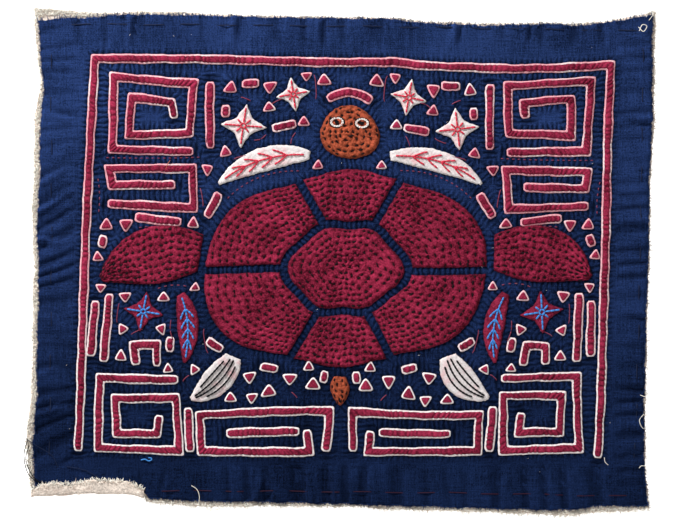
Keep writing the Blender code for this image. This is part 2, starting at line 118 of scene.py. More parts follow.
# Columns of the two tables above that hold each cloth's left and right, and bottom and top
BACKING_KEYS = ((2, 4), (1, 4))
GROUND_KEYS = ((1, 3), (2, 3))

# Step of the backing's grid and its rows, and steps between the frayed ends of both cloths
BACKING_STEP, BACKING_ROWS = 2.6, 116
BACKING_FRAY_STEP, GROUND_FRAY_STEP = 0.62, 0.90

# Hem turned up over the front: x, height of its raw edge above the fold
HEM_END_X = -129.0
HEM_RADIUS = 1.8
HEM_EDGE = (
    (-203.0, 2.6),
    (-197.0, 5.8),
    (-190.0, 6.6),
    (-184.0, 6.2),
    (-178.0, 5.2),
    (-171.0, 6.4),
    (-160.0, 7.6),
    (-150.0, 7.2),
    (-138.0, 6.4),
    (-132.0, 4.8),
    (-129.0, 3.4),
)

# The sewn field inside the margins
FIELD_LEFT, FIELD_RIGHT = -176.0, 181.0
FIELD_BOTTOM, FIELD_TOP = -134.0, 137.0
MARGIN_RISE = 24.0
MARGIN_STEP = 1.7
WAVE_HEIGHT = 1.1
FOLD_HEIGHT = 0.74
LOWEST_TROUGH = -0.75

# Trough beside a ridge: its distance and half width, by the ridge's, and its depth by the ridge's height
LEE_AWAY, LEE_WIDTH, LEE_DEPTH = 1.7, 0.6, 0.42

# Creases of the margins: inner x, inner y, outer x, outer y, height, half width.
# A ridge has a narrow trough on its lee side, and a negative height is a trough alone.
CREASES = (
    (-138.0, 137.0, -139.0, 162.0, 2.2, 2.4),
    (-92.0, 139.0, -91.0, 160.0, -0.7, 1.2),
    (-70.5, 138.0, -70.0, 161.0, 1.7, 2.2),
    (-14.0, 138.0, -13.5, 160.0, 1.7, 2.0),
    (26.5, 139.0, 27.0, 158.0, -0.7, 1.2),
    (47.0, 136.0, 46.5, 158.0, -0.8, 1.3),
    (75.5, 138.0, 75.0, 156.0, 2.0, 2.2),
    (120.5, 138.0, 121.0, 156.0, 1.8, 2.0),
    (160.0, 137.0, 161.0, 157.0, -0.8, 1.4),
    (-47.0, -134.0, -57.0, -158.0, 1.8, 2.6),
    (19.5, -134.0, 17.0, -160.0, 1.8, 2.4),
    (-113.0, -134.0, -115.0, -157.0, 1.6, 2.2),
    (-130.5, -133.0, -133.0, -150.0, -0.7, 1.4),
    (-141.0, -131.0, -140.0, -147.0, 1.0, 2.0),
    (70.0, -137.0, 73.0, -160.0, -0.6, 1.6),
    (110.0, -138.0, 107.0, -162.0, 0.9, 3.0),
    (-177.0, 44.0, -198.0, 31.0, 2.4, 2.6),
    (-176.0, 27.0, -198.0, 24.0, -0.7, 1.3),
    (-177.0, 12.0, -198.0, 13.0, 1.8, 2.0),
    (-177.0, -1.0, -198.0, -3.0, -0.7, 1.4),
    (-177.0, 62.0, -197.0, 50.0, 1.2, 2.6),
    (-175.0, 92.0, -196.0, 96.0, 1.1, 2.4),
    (-177.0, 116.0, -193.0, 120.0, -0.6, 1.8),
    (-180.0, -42.0, -199.0, -38.0, 0.9, 3.0),
    (-177.0, -93.0, -198.0, -101.0, 2.2, 2.4),
    (-181.0, -70.0, -199.0, -76.0, 0.9, 2.8),
    (183.0, 93.0, 204.0, 94.0, 1.8, 2.0),
    (185.0, 60.0, 203.0, 58.0, -0.6, 1.6),
    (183.0, 26.0, 202.0, 27.0, 2.2, 2.0),
    (184.0, 3.0, 201.0, 4.0, -0.6, 1.5),
    (183.0, -34.0, 201.0, -35.0, 1.8, 2.0),
    (182.0, -56.0, 200.0, -58.0, -0.6, 1.5),
    (183.0, -82.0, 199.0, -81.0, 2.0, 2.2),
    (181.0, -112.0, 199.0, -108.0, 0.9, 2.6),
)

# Centre line of the three-sided frame band, from its lower left end: x, y
FRAME_PATH = (
    (-172.7, -125.4),
    (-171.1, -91.8),
    (-169.8, -45.7),
    (-167.5, 20.1),
    (-164.2, 85.9),
    (-161.5, 132.9),
    (-92.4, 132.6),
    (-6.9, 130.3),
    (34.5, 130.6),
    (57.6, 128.0),
    (111.5, 126.1),
    (144.4, 126.7),
    (178.0, 128.6),
    (176.0, 85.9),
    (174.7, 20.1),
    (172.7, -45.7),
    (171.4, -91.8),
    (169.4, -130.0),
)

# Step of the rings of a strip
STRIP_STEP = 0.68

# Cloths of a strip: part, cloth, true area for each unit of area seen from above
STRIP_CLOTHS = (("edging", "edging", 1.1), ("band", "maroon", 1.2))

# Square spirals of the left half: name, left, bottom, width, height, legs, start corner, turn
TURN_PITCH = 12.0
SPIRALS = (
    ("spiral_top", -157.0, 71.0, 53.0, 46.0, 8, 1, -1),
    ("spiral_bottom", -158.0, -125.0, 51.0, 47.0, 8, 2, 1),
    ("key_bottom", -92.0, -125.0, 84.0, 24.0, 5, 1, 1),
    ("key_side", -157.0, 36.0, 54.0, 24.0, 5, 0, 1),
)

# How far the knife strays at the corners of a strip
STRAY_X, STRAY_Y = 1.4, 1.2

# Straight bars of the right half: name, x, y, length, lean in degrees
BARS = (
    ("bar_top", 92.0, 96.0, 46.0, 1.5),
    ("bar_side", 155.0, -46.0, 46.0, -1.0),
    ("bar_key", 51.0, -113.0, 48.0, 91.0),
)

# Arches of the right half: name, x, y, width, height; each leans and is lower on one side
ARCHES = (("arch_side", 128.0, -62.0, 14.0, 16.0),)
ARCH_LEAN = 1.0
ARCH_DROP = 3.0

# Leaf-shaped patches of the right half:
# name, cloth, root x, root y, tip x, tip y, width, bow, bluntness of the root, stitch rows
LEAVES = (
    ("front_flipper", "crimson", 97.0, 6.0, 161.0, -12.0, 38.0, 6.0, 0.20, 8),
    ("hind_flipper", "white", 70.0, -62.0, 98.0, -90.0, 20.0, -4.0, 0.16, 0),
    ("leaf_upper", "white", 27.0, 69.0, 86.0, 51.0, 15.0, 6.0, 0.10, 0),
    ("leaf_side", "maroon", 107.0, -22.0, 102.0, -66.0, 14.0, -4.0, 0.10, 0),
)
TAIL = ("tail", "orange", 0.0, -78.0, 0.0, -96.0, 13.0, 0.0, 0.18, 4)
PATCH_CELL = 0.7

# Four-pointed stars of the right half: name, cloth, thread, x, y, radius, turn in degrees
STARS = (
    ("star_large", "white", "red", 70.0, 88.0, 15.0, 6.0),
    ("star_small", "white", "red", 38.0, 108.0, 12.0, -8.0),
    ("star_side", "maroon", "blue", 131.0, -34.0, 14.0, 8.0),
)
STAR_WAIST = 0.48
STAR_POINTS = 96

# Small triangles of the right half: x, y, radius, turn in degrees
TRIANGLES = (
    (17.0, 117.0, 5.8, 88.0),
    (54.0, 114.0, 5.8, -90.0),
    (54.0, 100.0, 5.0, 84.0),
    (79.0, 114.0, 5.6, 96.0),
    (81.0, 71.0, 5.0, 80.0),
    (93.5, 60.0, 5.0, -86.0),
    (31.0, 90.0, 4.8, 90.0),
    (103.0, 25.5, 5.0, 92.0),
    (146.0, 23.0, 5.6, -92.0),
    (158.5, 22.0, 5.4, 88.0),
    (164.0, 2.0, 4.6, 84.0),
    (118.0, -24.0, 5.0, 88.0),
    (144.0, -24.0, 5.2, -94.0),
    (118.5, -45.0, 4.8, 8.0),
    (144.5, -46.0, 4.8, 176.0),
    (145.0, -64.0, 5.0, 90.0),
    (113.0, -70.0, 4.4, 84.0),
    (18.0, -83.0, 6.0, 92.0),
    (33.0, -79.0, 5.8, -88.0),
    (46.0, -87.0, 6.0, 86.0),
    (59.0, -76.0, 5.6, -94.0),
    (71.0, -90.0, 5.2, 90.0),
    (95.0, -70.0, 4.6, 60.0),
    (21.5, 62.5, 4.4, 90.0),
    (29.0, 120.0, 4.6, -90.0),
    (57.0, -90.5, 5.0, -90.0),
    (98.0, -17.5, 4.2, 90.0),
    (161.0, -18.0, 4.4, -88.0),
    (21.0, -71.5, 4.8, 90.0),
)

# Rings of a triangle, from its foot inwards: share of the rim, share of the rise, painted shade
TRIANGLE_RINGS = (
    (1.00, -0.33, 0.40),
    (1.00, 0.00, 0.50),
    (0.96, 0.55, 0.70),
    (0.86, 0.82, 0.85),
    (0.66, 0.97, 0.95),
    (0.36, 1.00, 1.00),
)
TRIANGLE_POINTS = 24
TOP_INSET = 0.85

# Short bars of the right half, past the solids' limit: x, y, length, lean in degrees
SHORT_BARS = (
    (44.0, 87.0, 15.0, 72.0),
    (81.5, 98.5, 11.0, 12.0),
    (66.5, 117.5, 13.0, 90.0),
    (90.0, 37.5, 19.0, 38.0),
    (125.0, 27.5, 28.0, 91.0),
    (160.5, 11.5, 10.0, 0.0),
    (46.0, -71.0, 13.0, -70.0),
    (82.5, -54.0, 11.0, -47.0),
    (99.6, -111.0, 28.0, 1.0),
    (163.6, -46.5, 38.0, -1.0),
    (112.5, -54.5, 11.0, 2.0),
    (11.0, -78.5, 9.0, 0.0),
)

# Arc of cloth over the turtle's head: radius and half angle in degrees
CROWN_RADIUS, CROWN_HALF = 25.0, 36.0

# The turtle's shell and head
SHELL_X, SHELL_Y = 0.0, -6.0
SHELL_HALF = (96.0, 64.0)
CORE_HALF = (36.0, 26.0)
SHELL_LOBE = 0.03
CORE_LOBE = 0.05
PLATE_COUNT = 6
PLATE_GAP = 5.2
HEAD = (0.0, 84.0, 20.0, 17.0)
HEAD_TAPER = 0.14
HEAD_ROWS, MIDDLE_ROWS = 5, 7

# Grids: points across and along a plate, points round and rings of the round patches
PLATE_GRID = (92, 56)
MIDDLE_GRID = (220, 48)
HEAD_GRID = (170, 30)
STAR_RINGS = 18

EYES = ((-8.5, 90.0), (8.5, 90.0))

# Radii of the stitched rings round an eye, by thread, their height over their width, and where they lie
EYE_RINGS = {"white": (4.2, 3.5), "black": (4.9, 1.3, 0.7)}
EYE_SQUASH = 0.72
EYE_TOP = GROUND_TOP + 1.1

# Quilting: half length and half width of a stitch's dent, half width of the pleat across it,
# then the heights of the pillows between the rows, the dents, the pleats and the rumples
DENT_LENGTH, DENT_WIDTH, PLEAT_WIDTH = 1.30, 0.85, 0.75
PILLOW_HEIGHT, DENT_DEPTH, PLEAT_DEPTH, RUMPLE_HEIGHT = 0.80, 0.60, 0.30, 0.26

# Ribs of the ground square to sewn edges: their four directions and their height, and how
# far they reach inside and outside the frame
RIB_TURNS = np.radians((0, 45, 90, 135))
RIB_HEIGHT = 0.48
RIB_REACH, RIB_REACH_OUTSIDE = 5.0, 3.2

# Running stitches on the ground, in both halves: x0, y0, x1, y1, bow, stitch, gap
FIELD_STITCHES = (
    (99.0, 67.5, 160.0, 66.5, -0.6, 1.4, 2.2),
    (110.0, 21.0, 137.0, 21.5, 1.5, 1.4, 2.2),
    (34.0, 59.0, 80.0, 42.0, 5.0, 1.4, 2.4),
    (23.0, 104.0, 24.0, 121.0, 1.5, 11.0, 4.0),
    (64.0, 68.5, 76.0, 66.0, 1.5, 9.0, 4.0),
    (104.0, -16.5, 122.0, -18.0, 1.5, 1.4, 2.2),
    (90.0, -44.0, 86.0, -60.0, 1.5, 12.0, 4.0),
    (147.5, -28.0, 148.5, -42.0, 1.0, 10.0, 4.0),
    (10.0, -101.5, 84.0, -99.5, 0.8, 1.4, 2.4),
    (98.5, -74.0, 103.0, -78.0, 1.0, 6.0, 3.0),
    (28.0, -92.0, 32.0, -88.0, 0.6, 5.0, 4.0),
    (97.0, 36.0, 99.0, 48.0, 1.0, 9.0, 3.0),
    (164.0, 30.0, 165.0, 52.0, 0.8, 1.4, 2.2),
    (45.0, 105.0, 52.5, 101.5, 1.0, 4.2, 0.4),
    (55.5, 82.0, 63.0, 78.5, -1.2, 4.2, 0.4),
    (92.0, 87.0, 93.5, 76.0, 1.2, 5.4, 0.4),
    (36.5, 83.0, 39.5, 76.0, 0.9, 3.8, 0.4),
    (66.0, 104.5, 72.5, 107.5, 0.8, 7.0, 1.0),
    (112.0, -39.0, 110.0, -52.0, 1.2, 6.4, 0.4),
    (131.0, -46.0, 139.0, -50.0, 1.0, 4.4, 0.4),
)

# Long basting stitches round the margins: x0, y0, x1, y1, stitch, gap, thread
BASTING = (
    (-177.0, 155.5, 196.0, 151.0, 13.0, 10.0, "dark"),
    (-190.5, 136.0, -191.5, -128.0, 9.0, 17.0, "dark"),
    (199.0, 140.0, 193.5, -130.0, 9.0, 15.0, "dark"),
    (-118.0, -151.5, 188.0, -155.0, 12.0, 9.0, "wine"),
)

# Loose thread ends: thread, thickness, then x, y, height above the ground for each point
LOOSE_THREADS = (
    ("cream", 0.5, (
        (196.5, 151.0, 0.6), (198.5, 155.0, 1.6), (201.5, 154.0, 1.0),
        (199.0, 150.5, 2.0), (196.0, 153.5, 1.0),
    )),
    ("cream", 0.4, (
        (203.0, 158.0, 0.4), (205.5, 162.0, 1.5), (203.0, 163.5, 1.2),
        (201.0, 160.0, 0.8),
    )),
    ("white", 0.35, (
        (205.0, 103.0, 0.2), (208.5, 97.0, 1.0), (208.0, 92.0, 1.4),
        (204.5, 90.5, 0.5),
    )),
    ("cream", 0.4, (
        (197.0, -88.5, 0.6), (200.5, -89.5, 1.2), (203.0, -88.0, 0.6),
    )),
    ("cream", 0.4, (
        (199.5, -101.0, 0.8), (196.5, -105.0, 1.0), (198.0, -109.5, 0.7),
        (200.5, -111.0, 0.4),
    )),
    ("cream", 0.45, (
        (196.5, -136.5, 0.8), (198.0, -135.0, 1.0), (202.0, -135.5, 0.6),
    )),
    ("white", 0.45, (
        (173.5, -129.5, 0.8), (174.0, -132.5, 1.2), (176.0, -134.5, 0.8),
    )),
    ("cream", 0.45, (
        (-98.0, -148.0, 0.7), (-94.5, -150.5, 1.0), (-92.8, -155.0, 0.9),
        (-93.5, -161.0, 0.4),
    )),
    ("black", 0.62, (
        (-206.0, -118.0, 0.2), (-208.0, -128.0, 1.4), (-206.0, -139.0, 1.2),
        (-201.0, -144.5, 0.9), (-194.0, -146.0, 0.6),
    )),
    ("dark", 0.42, (
        (-207.0, -117.0, 0.2), (-201.0, -121.0, 0.9), (-190.0, -128.0, 0.7),
        (-186.0, -136.0, 0.5),
    )),
    ("black", 0.54, (
        (-205.0, -122.0, 0.2), (-207.0, -131.0, 1.1), (-203.0, -141.0, 1.0),
        (-197.0, -146.5, 0.6),
    )),
    ("dark", 0.42, (
        (-180.0, -135.5, 0.5), (-168.0, -138.0, 0.9), (-155.0, -145.0, 0.7),
        (-146.0, -149.0, 0.5),
    )),
    ("blue", 0.8, (
        (-131.2, -131.2, 0.7), (-128.6, -130.7, 1.1), (-126.2, -131.8, 1.2),
        (-124.2, -131.0, 0.9), (-124.8, -129.9, 0.6), (-126.4, -129.8, 0.5),
    )),
    ("orange", 0.4, (
        (-112.0, 66.0, 0.6), (-113.5, 63.5, 1.2), (-115.0, 60.0, 0.8),
    )),
)
THREAD_TANGLE = (-84.0, -163.0)

CURVE_POINTS = 40

# Radii of a stitch at its points, thin where it enters the cloth: those of the quilting
# and of the frays are shares of the thread's own radius
QUILTING_RADII = np.array((0.45, 1.0, 1.0, 0.45))
EMBROIDERY_RADII = np.array((0.40, 0.60, 0.60, 0.40))
EYE_RADII = np.array((0.28, 0.40, 0.40, 0.28))
FIELD_RADII = 0.32 * np.array((0.5, 1, 1, 1, 1, 1, 1, 0.5))
FRAY_RADII = np.array((1.0, 0.9, 0.4))
BASTING_RADIUS = 0.34
TANGLE_RADII = (0.16, 0.14)
LINT_RADIUS = 0.11
LINT_COUNT = 46

# Frayed ends: piece, thread, radius
FRAYS = (
    ("backing_fray", "cream", 0.25),
    ("backing_fluff", "tan", 0.20),
    ("ground_fray", "navy", 0.32),
)

# A patch before it is sewn: its sides and its true area over the finished ones, and the
# least share of its own rectangle that a sheet's area may have
PATCH_SEAM, PATCH_TRUE_AREA, LEAST_SHARE = 1.04, 1.12, 0.301

# Seeds of the random draws
FRAY_SEED = 11
TANGLE_SEED = 5
LINT_SEED = 23

# Looks of the cloths: darkest and lightest share of the colour, then for the painted shade
# how much of the tone shows in a dent and the share of the colour that takes its place there
CLOTH_LOOKS = {
    "maroon": (0.32, 1.46, 0.22, 0.12),
    "crimson": (0.20, 1.66, 0.12, 0.12),
    "orange": (0.40, 1.30, 0.24, 0.12),
    "white": (0.72, 1.05, 0.45, 0.45),
    "edging": (0.80, 1.12, 0.60, 0.45),
    "backing": (0.62, 1.22, 0.80, 0.12),
}

# Pale fibres and a painted sheen on the red cloths, added to the light end of their mottle
FUZZ_AND_SHEEN_CLOTHS = ("maroon", "crimson")
FUZZ_AND_SHEEN = (0.018, 0.014, 0.016)

# Stains of the pale cloths: scale, detail, noise where a stain is full, strength, colour
STAINS = {
    "backing": (230.0, 3.0, 0.68, 0.50, (0.50, 0.37, 0.30)),
    "white": (140.0, 2.0, 0.72, 0.75, (0.78, 0.42, 0.44)),
}

# Colours of the threads that have none among the panel's settings
THREAD_LOOKS = {
    "dark": (0.010, 0.016, 0.045),
    "dull_red": (0.20, 0.015, 0.05),
    "wine": (0.026, 0.006, 0.016),
    "navy": (0.011, 0.030, 0.105),
    "tan": (0.62, 0.48, 0.38),
    "white": (0.80, 0.74, 0.70),
    "orange": (0.50, 0.12, 0.04),
}
DARK_THREAD = 0.2

# Lights: name, place, power, size; then the room's own light and the floor's glow
LIGHTS = (
    ("key", (-0.8, 1.2, 0.66), 44.0, 0.30),
    ("fill", (0.9, -0.8, 1.3), 8.0, 1.2),
    ("low", (0.1, -1.5, 0.45), 6.5, 0.8),
)
ROOM_LIGHT = 0.27
FLOOR_GREY, FLOOR_GLOW = 0.93, 0.8
FLOOR_HALF, FLOOR_Z = 2.5, -0.0002


def length_setting(name, description, default):
    """Setting for a length, in metres."""
    return FloatProperty(name=name, description=description, default=default, unit="LENGTH")


def colour_setting(name, description, default):
    """Setting for a colour."""
    return FloatVectorProperty(name=name, description=description, default=default, subtype="COLOR")


class MolaSizes(bpy.types.PropertyGroup):
    """Sizes of the sewn work."""

    band_width: length_setting("Band width", "Width of the maroon bands", 0.0043)
    edging_width: length_setting("Edging width", "Width of a band with its edging", 0.0061)
    band_rise: length_setting("Band rise", "Height of a band over the ground", 0.0013)
    edging_rise: length_setting("Edging rise", "Height of the edging over the ground", 0.0006)
    patch_rise: length_setting("Patch rise", "Height of a patch over the ground", 0.0009)
    dent_pitch: length_setting("Dent pitch", "Distance between the stitch dents of a band", 0.0034)
    quilt_pitch: length_setting("Quilting pitch", "Distance between running stitches", 0.0045)
    quilt_row: length_setting("Quilting row", "Distance between rows of quilting", 0.0045)
    stitch_length: length_setting("Stitch length", "Length of a quilting stitch", 0.0026)
    thread_width: length_setting("Thread width", "Thickness of the sewing thread", 0.0010)
    ground_step: length_setting("Ground step", "Grid step of the ground cloth's field", 0.00115)
    thread_pitch: length_setting("Thread pitch", "Distance between the threads of the weave", 0.0005)


class MolaColours(bpy.types.PropertyGroup):
    """Colours of the cloths and threads."""

    navy: colour_setting("Navy", "Ground cloth", (0.0086, 0.0222, 0.082))
    maroon: colour_setting("Maroon", "Bands", (0.2900, 0.0140, 0.0510))
    crimson: colour_setting("Crimson", "Plates", (0.2280, 0.0078, 0.0350))
    orange: colour_setting("Orange", "Head", (0.43, 0.088, 0.042))
    white: colour_setting("White", "Stars and leaves", (0.87, 0.80, 0.79))
    edging: colour_setting("Edging", "Edging", (0.80, 0.37, 0.42))
    backing: colour_setting("Backing", "Backing", (0.79, 0.68, 0.59))
    red: colour_setting("Red", "Red thread", (0.58, 0.012, 0.045))
    blue: colour_setting("Blue", "Blue thread", (0.03, 0.22, 0.62))
    black: colour_setting("Black", "Black thread", (0.004, 0.004, 0.006))
    cream: colour_setting("Cream", "Cream thread", (0.93, 0.81, 0.71))


def size(name):
    """A size of the panel, in millimetres."""
    return getattr(bpy.context.scene.mola_sizes, name) / MM


def colour(name):
    """A colour of the panel."""
    return tuple(getattr(bpy.context.scene.mola_colours, name))


def sway(x, y):
    """Hand-cut unevenness: the design leans with the frame and waves by a millimetre or two."""
    lean = 3.3 + 0.038 * y
    wave_x = 1.1 * np.sin(y / 31 + 0.6) + 0.7 * np.sin(x / 17 + y / 23)
    wave_y = 0.9 * np.sin(x / 27 + 1.9) + 0.8 * np.sin(y / 15 - x / 29)
    droop = 0.010 * x * np.clip(y, 0, None) / 120
    return x + lean + wave_x, y + wave_y - droop


def swayed(points):
    """Drawn points with the hand-cut unevenness added."""
    points = np.asarray(points, float)
    return np.stack(sway(points[..., 0], points[..., 1]), -1)


def unswayed(points):
    """Points as they are, for shapes measured on the cloth itself."""
    return np.asarray(points, float)


def hand_cut(corners):
    """Corners that each stray a little, as when cut by eye."""
    x, y = np.asarray(corners, float).T
    turn = np.arange(len(x))
    stray_x = STRAY_X * np.sin(2.4 * turn + x / 19)
    stray_y = STRAY_Y * np.sin(1.9 * turn + y / 13 + 1)
    return np.stack([x + stray_x, y + stray_y], -1)


def ramp(value):
    """Soft step: 0 below 0, 1 above 1, smooth between."""
    held = np.clip(value, 0, 1)
    return held * held * (3 - 2 * held)


def column(table, key, at):
    """Value of one column of a table, read by straight lines between its rows."""
    rows = np.array([row[:1] + row[key:key + 1] for row in table])
    return np.interp(at, rows[:, 0], rows[:, 1])


def noise_wave(x, y, wavelength, seed):
    """Smooth unevenness between -1 and 1: a product of sines, each bent by another."""
    k = math.tau / wavelength
    first = np.sin(k * x + 1.3 * np.sin(0.61 * k * y + seed) + 2.1 * seed)
    second = np.sin(k * y + 1.3 * np.sin(0.53 * k * x + 1.7 * seed) + 0.9 * seed)
    third = np.sin(0.37 * k * (x + y) + seed)
    return 0.6 * first * second + 0.4 * third


def margin_wave(x, y):
    """Long waves of the margins, which lift both cloths and leave the field flat."""
    left, right = FIELD_LEFT - x, x - FIELD_RIGHT
    low, high = FIELD_BOTTOM - y, y - FIELD_TOP
    outside = ramp(np.maximum.reduce([left, right, low, high]) / MARGIN_RISE)
    swell = 0.5 + 0.5 * np.sin(x / 21 + 0.8) * np.cos(y / 24 - 0.4)
    return WAVE_HEIGHT * outside * (1 - flat_corner(x, y)) * swell


def flat_corner(x, y):
    """1 where the hem lies on the ground and holds it flat, 0 away from it."""
    return ramp((HEM_END_X + 18 - x) / 12) * ramp((-128 - y) / 12)


def fold_wave(along, stretch):
    """Uneven folds: a sine whose phase another one bends, with an overtone that steepens one side."""
    phase = along / stretch + 1.5 * np.sin(along / (4 * stretch) + 0.5)
    return np.sin(phase) + 0.35 * np.sin(2 * phase + 1.1)


def margin_folds(x, y):
    """Soft folds of the margins, which run outwards, slanting on the left side."""
    side = ramp(np.maximum(FIELD_LEFT + 6 - x, x - FIELD_RIGHT + 4) / 10)
    end = ramp(np.maximum(FIELD_BOTTOM + 2 - y, y - FIELD_TOP) / 10) * (1 - side)
    lean = 0.28 + 0.30 * np.sin(y / 27.0 + 0.6)
    slant = y - np.where(x < 0, lean * (x - FIELD_LEFT), 0.06 * (x - FIELD_RIGHT))
    by_side = fold_wave(slant, 1.8) * (0.72 + 0.45 * np.sin(slant / 19.0 + 1.0))
    by_side = by_side * (1 - 0.6 * ramp((y - 95) / 20))
    depth = np.where(y < 0, 1.5 - 0.6 * ramp((x - 60) / 60), 0.45)
    by_end = depth * fold_wave(x + 0.05 * y, 2.6) * (1 + 0.7 * np.sin(x / 26.0 + 2.0))
    return FOLD_HEIGHT * (side * by_side + end * by_end) * (1 - flat_corner(x, y))


def crease_relief(x, y):
    """Folds and creases: each crease a bell across its line, growing from its inner to its outer end."""
    rise = margin_folds(x, y)
    for x0, y0, x1, y1, height, half in CREASES:
        run_x, run_y = x1 - x0, y1 - y0
        length = math.hypot(run_x, run_y)
        along = ((x - x0) * run_x + (y - y0) * run_y) / length ** 2
        across = ((x - x0) * run_y - (y - y0) * run_x) / length
        across = across + 0.5 * np.sin(along * 5 + x0)
        bell = np.exp(-(across / half) ** 2)
        lee = np.exp(-((across - LEE_AWAY * half) / (LEE_WIDTH * half)) ** 2)
        rise = rise + ramp(along * 1.4) * (height * bell - LEE_DEPTH * max(height, 0) * lee)
    return np.maximum(rise, LOWEST_TROUGH + 0.12 * (rise - LOWEST_TROUGH))


def ragged(at, seed):
    """Uneven raw edge: three sines of short wavelength, two thirds of a millimetre in all."""
    fine = 0.22 * np.sin(at / 0.7 + 3 * seed) + 0.18 * np.sin(at / 1.9 + seed)
    return fine + 0.25 * np.sin(at / 4.7 + 2 * seed)


def cloth_grid(side_keys, end_keys, xs, ys):
    """Grid over a cloth: x runs between the side edges and y between the ends."""
    across = (xs + HALF_WIDTH) / (2 * HALF_WIDTH)
    up = (ys + HALF_HEIGHT) / (2 * HALF_HEIGHT)
    left, right = (column(SIDE_EDGES, key, ys)[:, None] for key in side_keys)
    low, high = (column(END_EDGES, key, xs)[None, :] for key in end_keys)
    left = left + ragged(ys, side_keys[0])[:, None]
    right = right + ragged(ys, side_keys[1])[:, None]
    low = low + ragged(xs, end_keys[0] + 5)[None, :]
    high = high + ragged(xs, end_keys[1] + 5)[None, :]
    x = left + (right - left) * across[None, :]
    y = low + (high - low) * up[:, None]
    return x, y


def full_turn(count):
    """Evenly spaced bearings round a circle."""
    return np.arange(count) * math.tau / count


def softened(values):
    """Short running average round closed rims, which rounds their corners."""
    return 0.25 * (np.roll(values, 1, -1) + np.roll(values, -1, -1)) + 0.5 * values


def ring_quads(index):
    """Faces between neighbouring closed rings of numbered points (..., ring, corner)."""
    turned = np.roll(index, -1, axis=-1)
    corners = (index[..., :-1, :], turned[..., :-1, :], turned[..., 1:, :], index[..., 1:, :])
    return np.stack(corners, -1).reshape(-1, 4)


def grid_rim(grid):
    """Values of a grid round its rim, from its first corner."""
    return np.concatenate([grid[0, :-1], grid[:-1, -1], grid[-1, :0:-1], grid[:0:-1, 0]])


def grid_quads(rows, columns, wrap=False):
    """Faces of a grid of points stored row by row, closed round its columns if asked."""
    index = np.arange(rows * columns).reshape(rows, columns)
    if wrap:
        index = np.hstack([index, index[:, :1]])
    corners = (index[:-1, :-1], index[:-1, 1:], index[1:, 1:], index[1:, :-1])
    return np.stack(corners, -1).reshape(-1, 4)


def in_scene(name, data):
    """Object that holds the data, in the scene."""
    thing = bpy.data.objects.new(name, data)
    bpy.context.scene.collection.objects.link(thing)
    return thing


def make_piece(name, points, faces, material, layers=None):
    """Object from drawn points in millimetres: moved to the frame's origin and put in metres."""
    spots = (np.asarray(points, float).reshape(-1, 3) - (*CENTRE, 0.0)) * MM
    mesh = bpy.data.meshes.new(name)
    listed = []
    for group in faces:
        listed += group.tolist() if isinstance(group, np.ndarray) else group
    mesh.from_pydata(spots.tolist(), [], listed)
    for key, values in (layers or {}).items():
        values = np.asarray(values, np.float32)
        kind, field = ("FLOAT", "value") if values.ndim == 1 else ("FLOAT_COLOR", "color")
        layer = mesh.attributes.new(key, kind, "POINT")
        layer.data.foreach_set(field, values.ravel())
    mesh.shade_smooth()
    mesh.materials.append(material)
    piece = in_scene(name, mesh)
    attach(piece, "root")
    return piece


def dress(node, area=None):
    """The piece stands for a solid of the frame, which is hidden; its flat size is put in square metres but
    not used.
    """
    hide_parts(node)
    if area is not None:
        area = area * MM * MM


def polygon_area(x, y):
    """Signed area of a closed loop of points."""
    return 0.5 * float(np.sum(x * np.roll(y, -1) - np.roll(x, -1) * y))


def strip_rings(corners, step):
    """Rings of a strip: centre, sideways vector for a half width of one, and arc length.

    Each leg runs evenly between the mitre lines of its two ends.
    """
    corners = np.asarray(corners, float)
    run = np.diff(corners, axis=0)
    length = np.linalg.norm(run, axis=1)
    unit = run / length[:, None]
    before, after = np.vstack([unit[:1], unit]), np.vstack([unit, unit[-1:]])
    mean = before + after
    mean /= np.linalg.norm(mean, axis=1)[:, None]
    mitre = np.stack([-mean[:, 1], mean[:, 0]], -1) / np.sum(mean * after, axis=1)[:, None]
    centre, side, along = [], [], []
    starts = np.concatenate([[0.0], np.cumsum(length)])
    for i in range(len(run)):
        count = max(2, round(length[i] / step))
        share = (np.arange(count) / count)[:, None]
        centre.append(corners[i] + run[i] * share)
        side.append(mitre[i] + (mitre[i + 1] - mitre[i]) * share)
        along.append(starts[i] + length[i] * share[:, 0])
    centre.append(corners[-1:])
    side.append(mitre[-1:])
    along.append(starts[-1:])
    return np.vstack(centre), np.vstack(side), np.concatenate(along)


def uneven_phase(along, pitch, seed):
    """Phase of stitches sewn by hand: even steps and three sines that vary their spacing."""
    drift = 0.34 * np.sin(along / 7.3 + seed) + 0.22 * np.sin(along / 2.9 + 2.1 * seed)
    return along / pitch + drift + 0.12 * np.sin(along / 1.7 + 3.7 * seed)


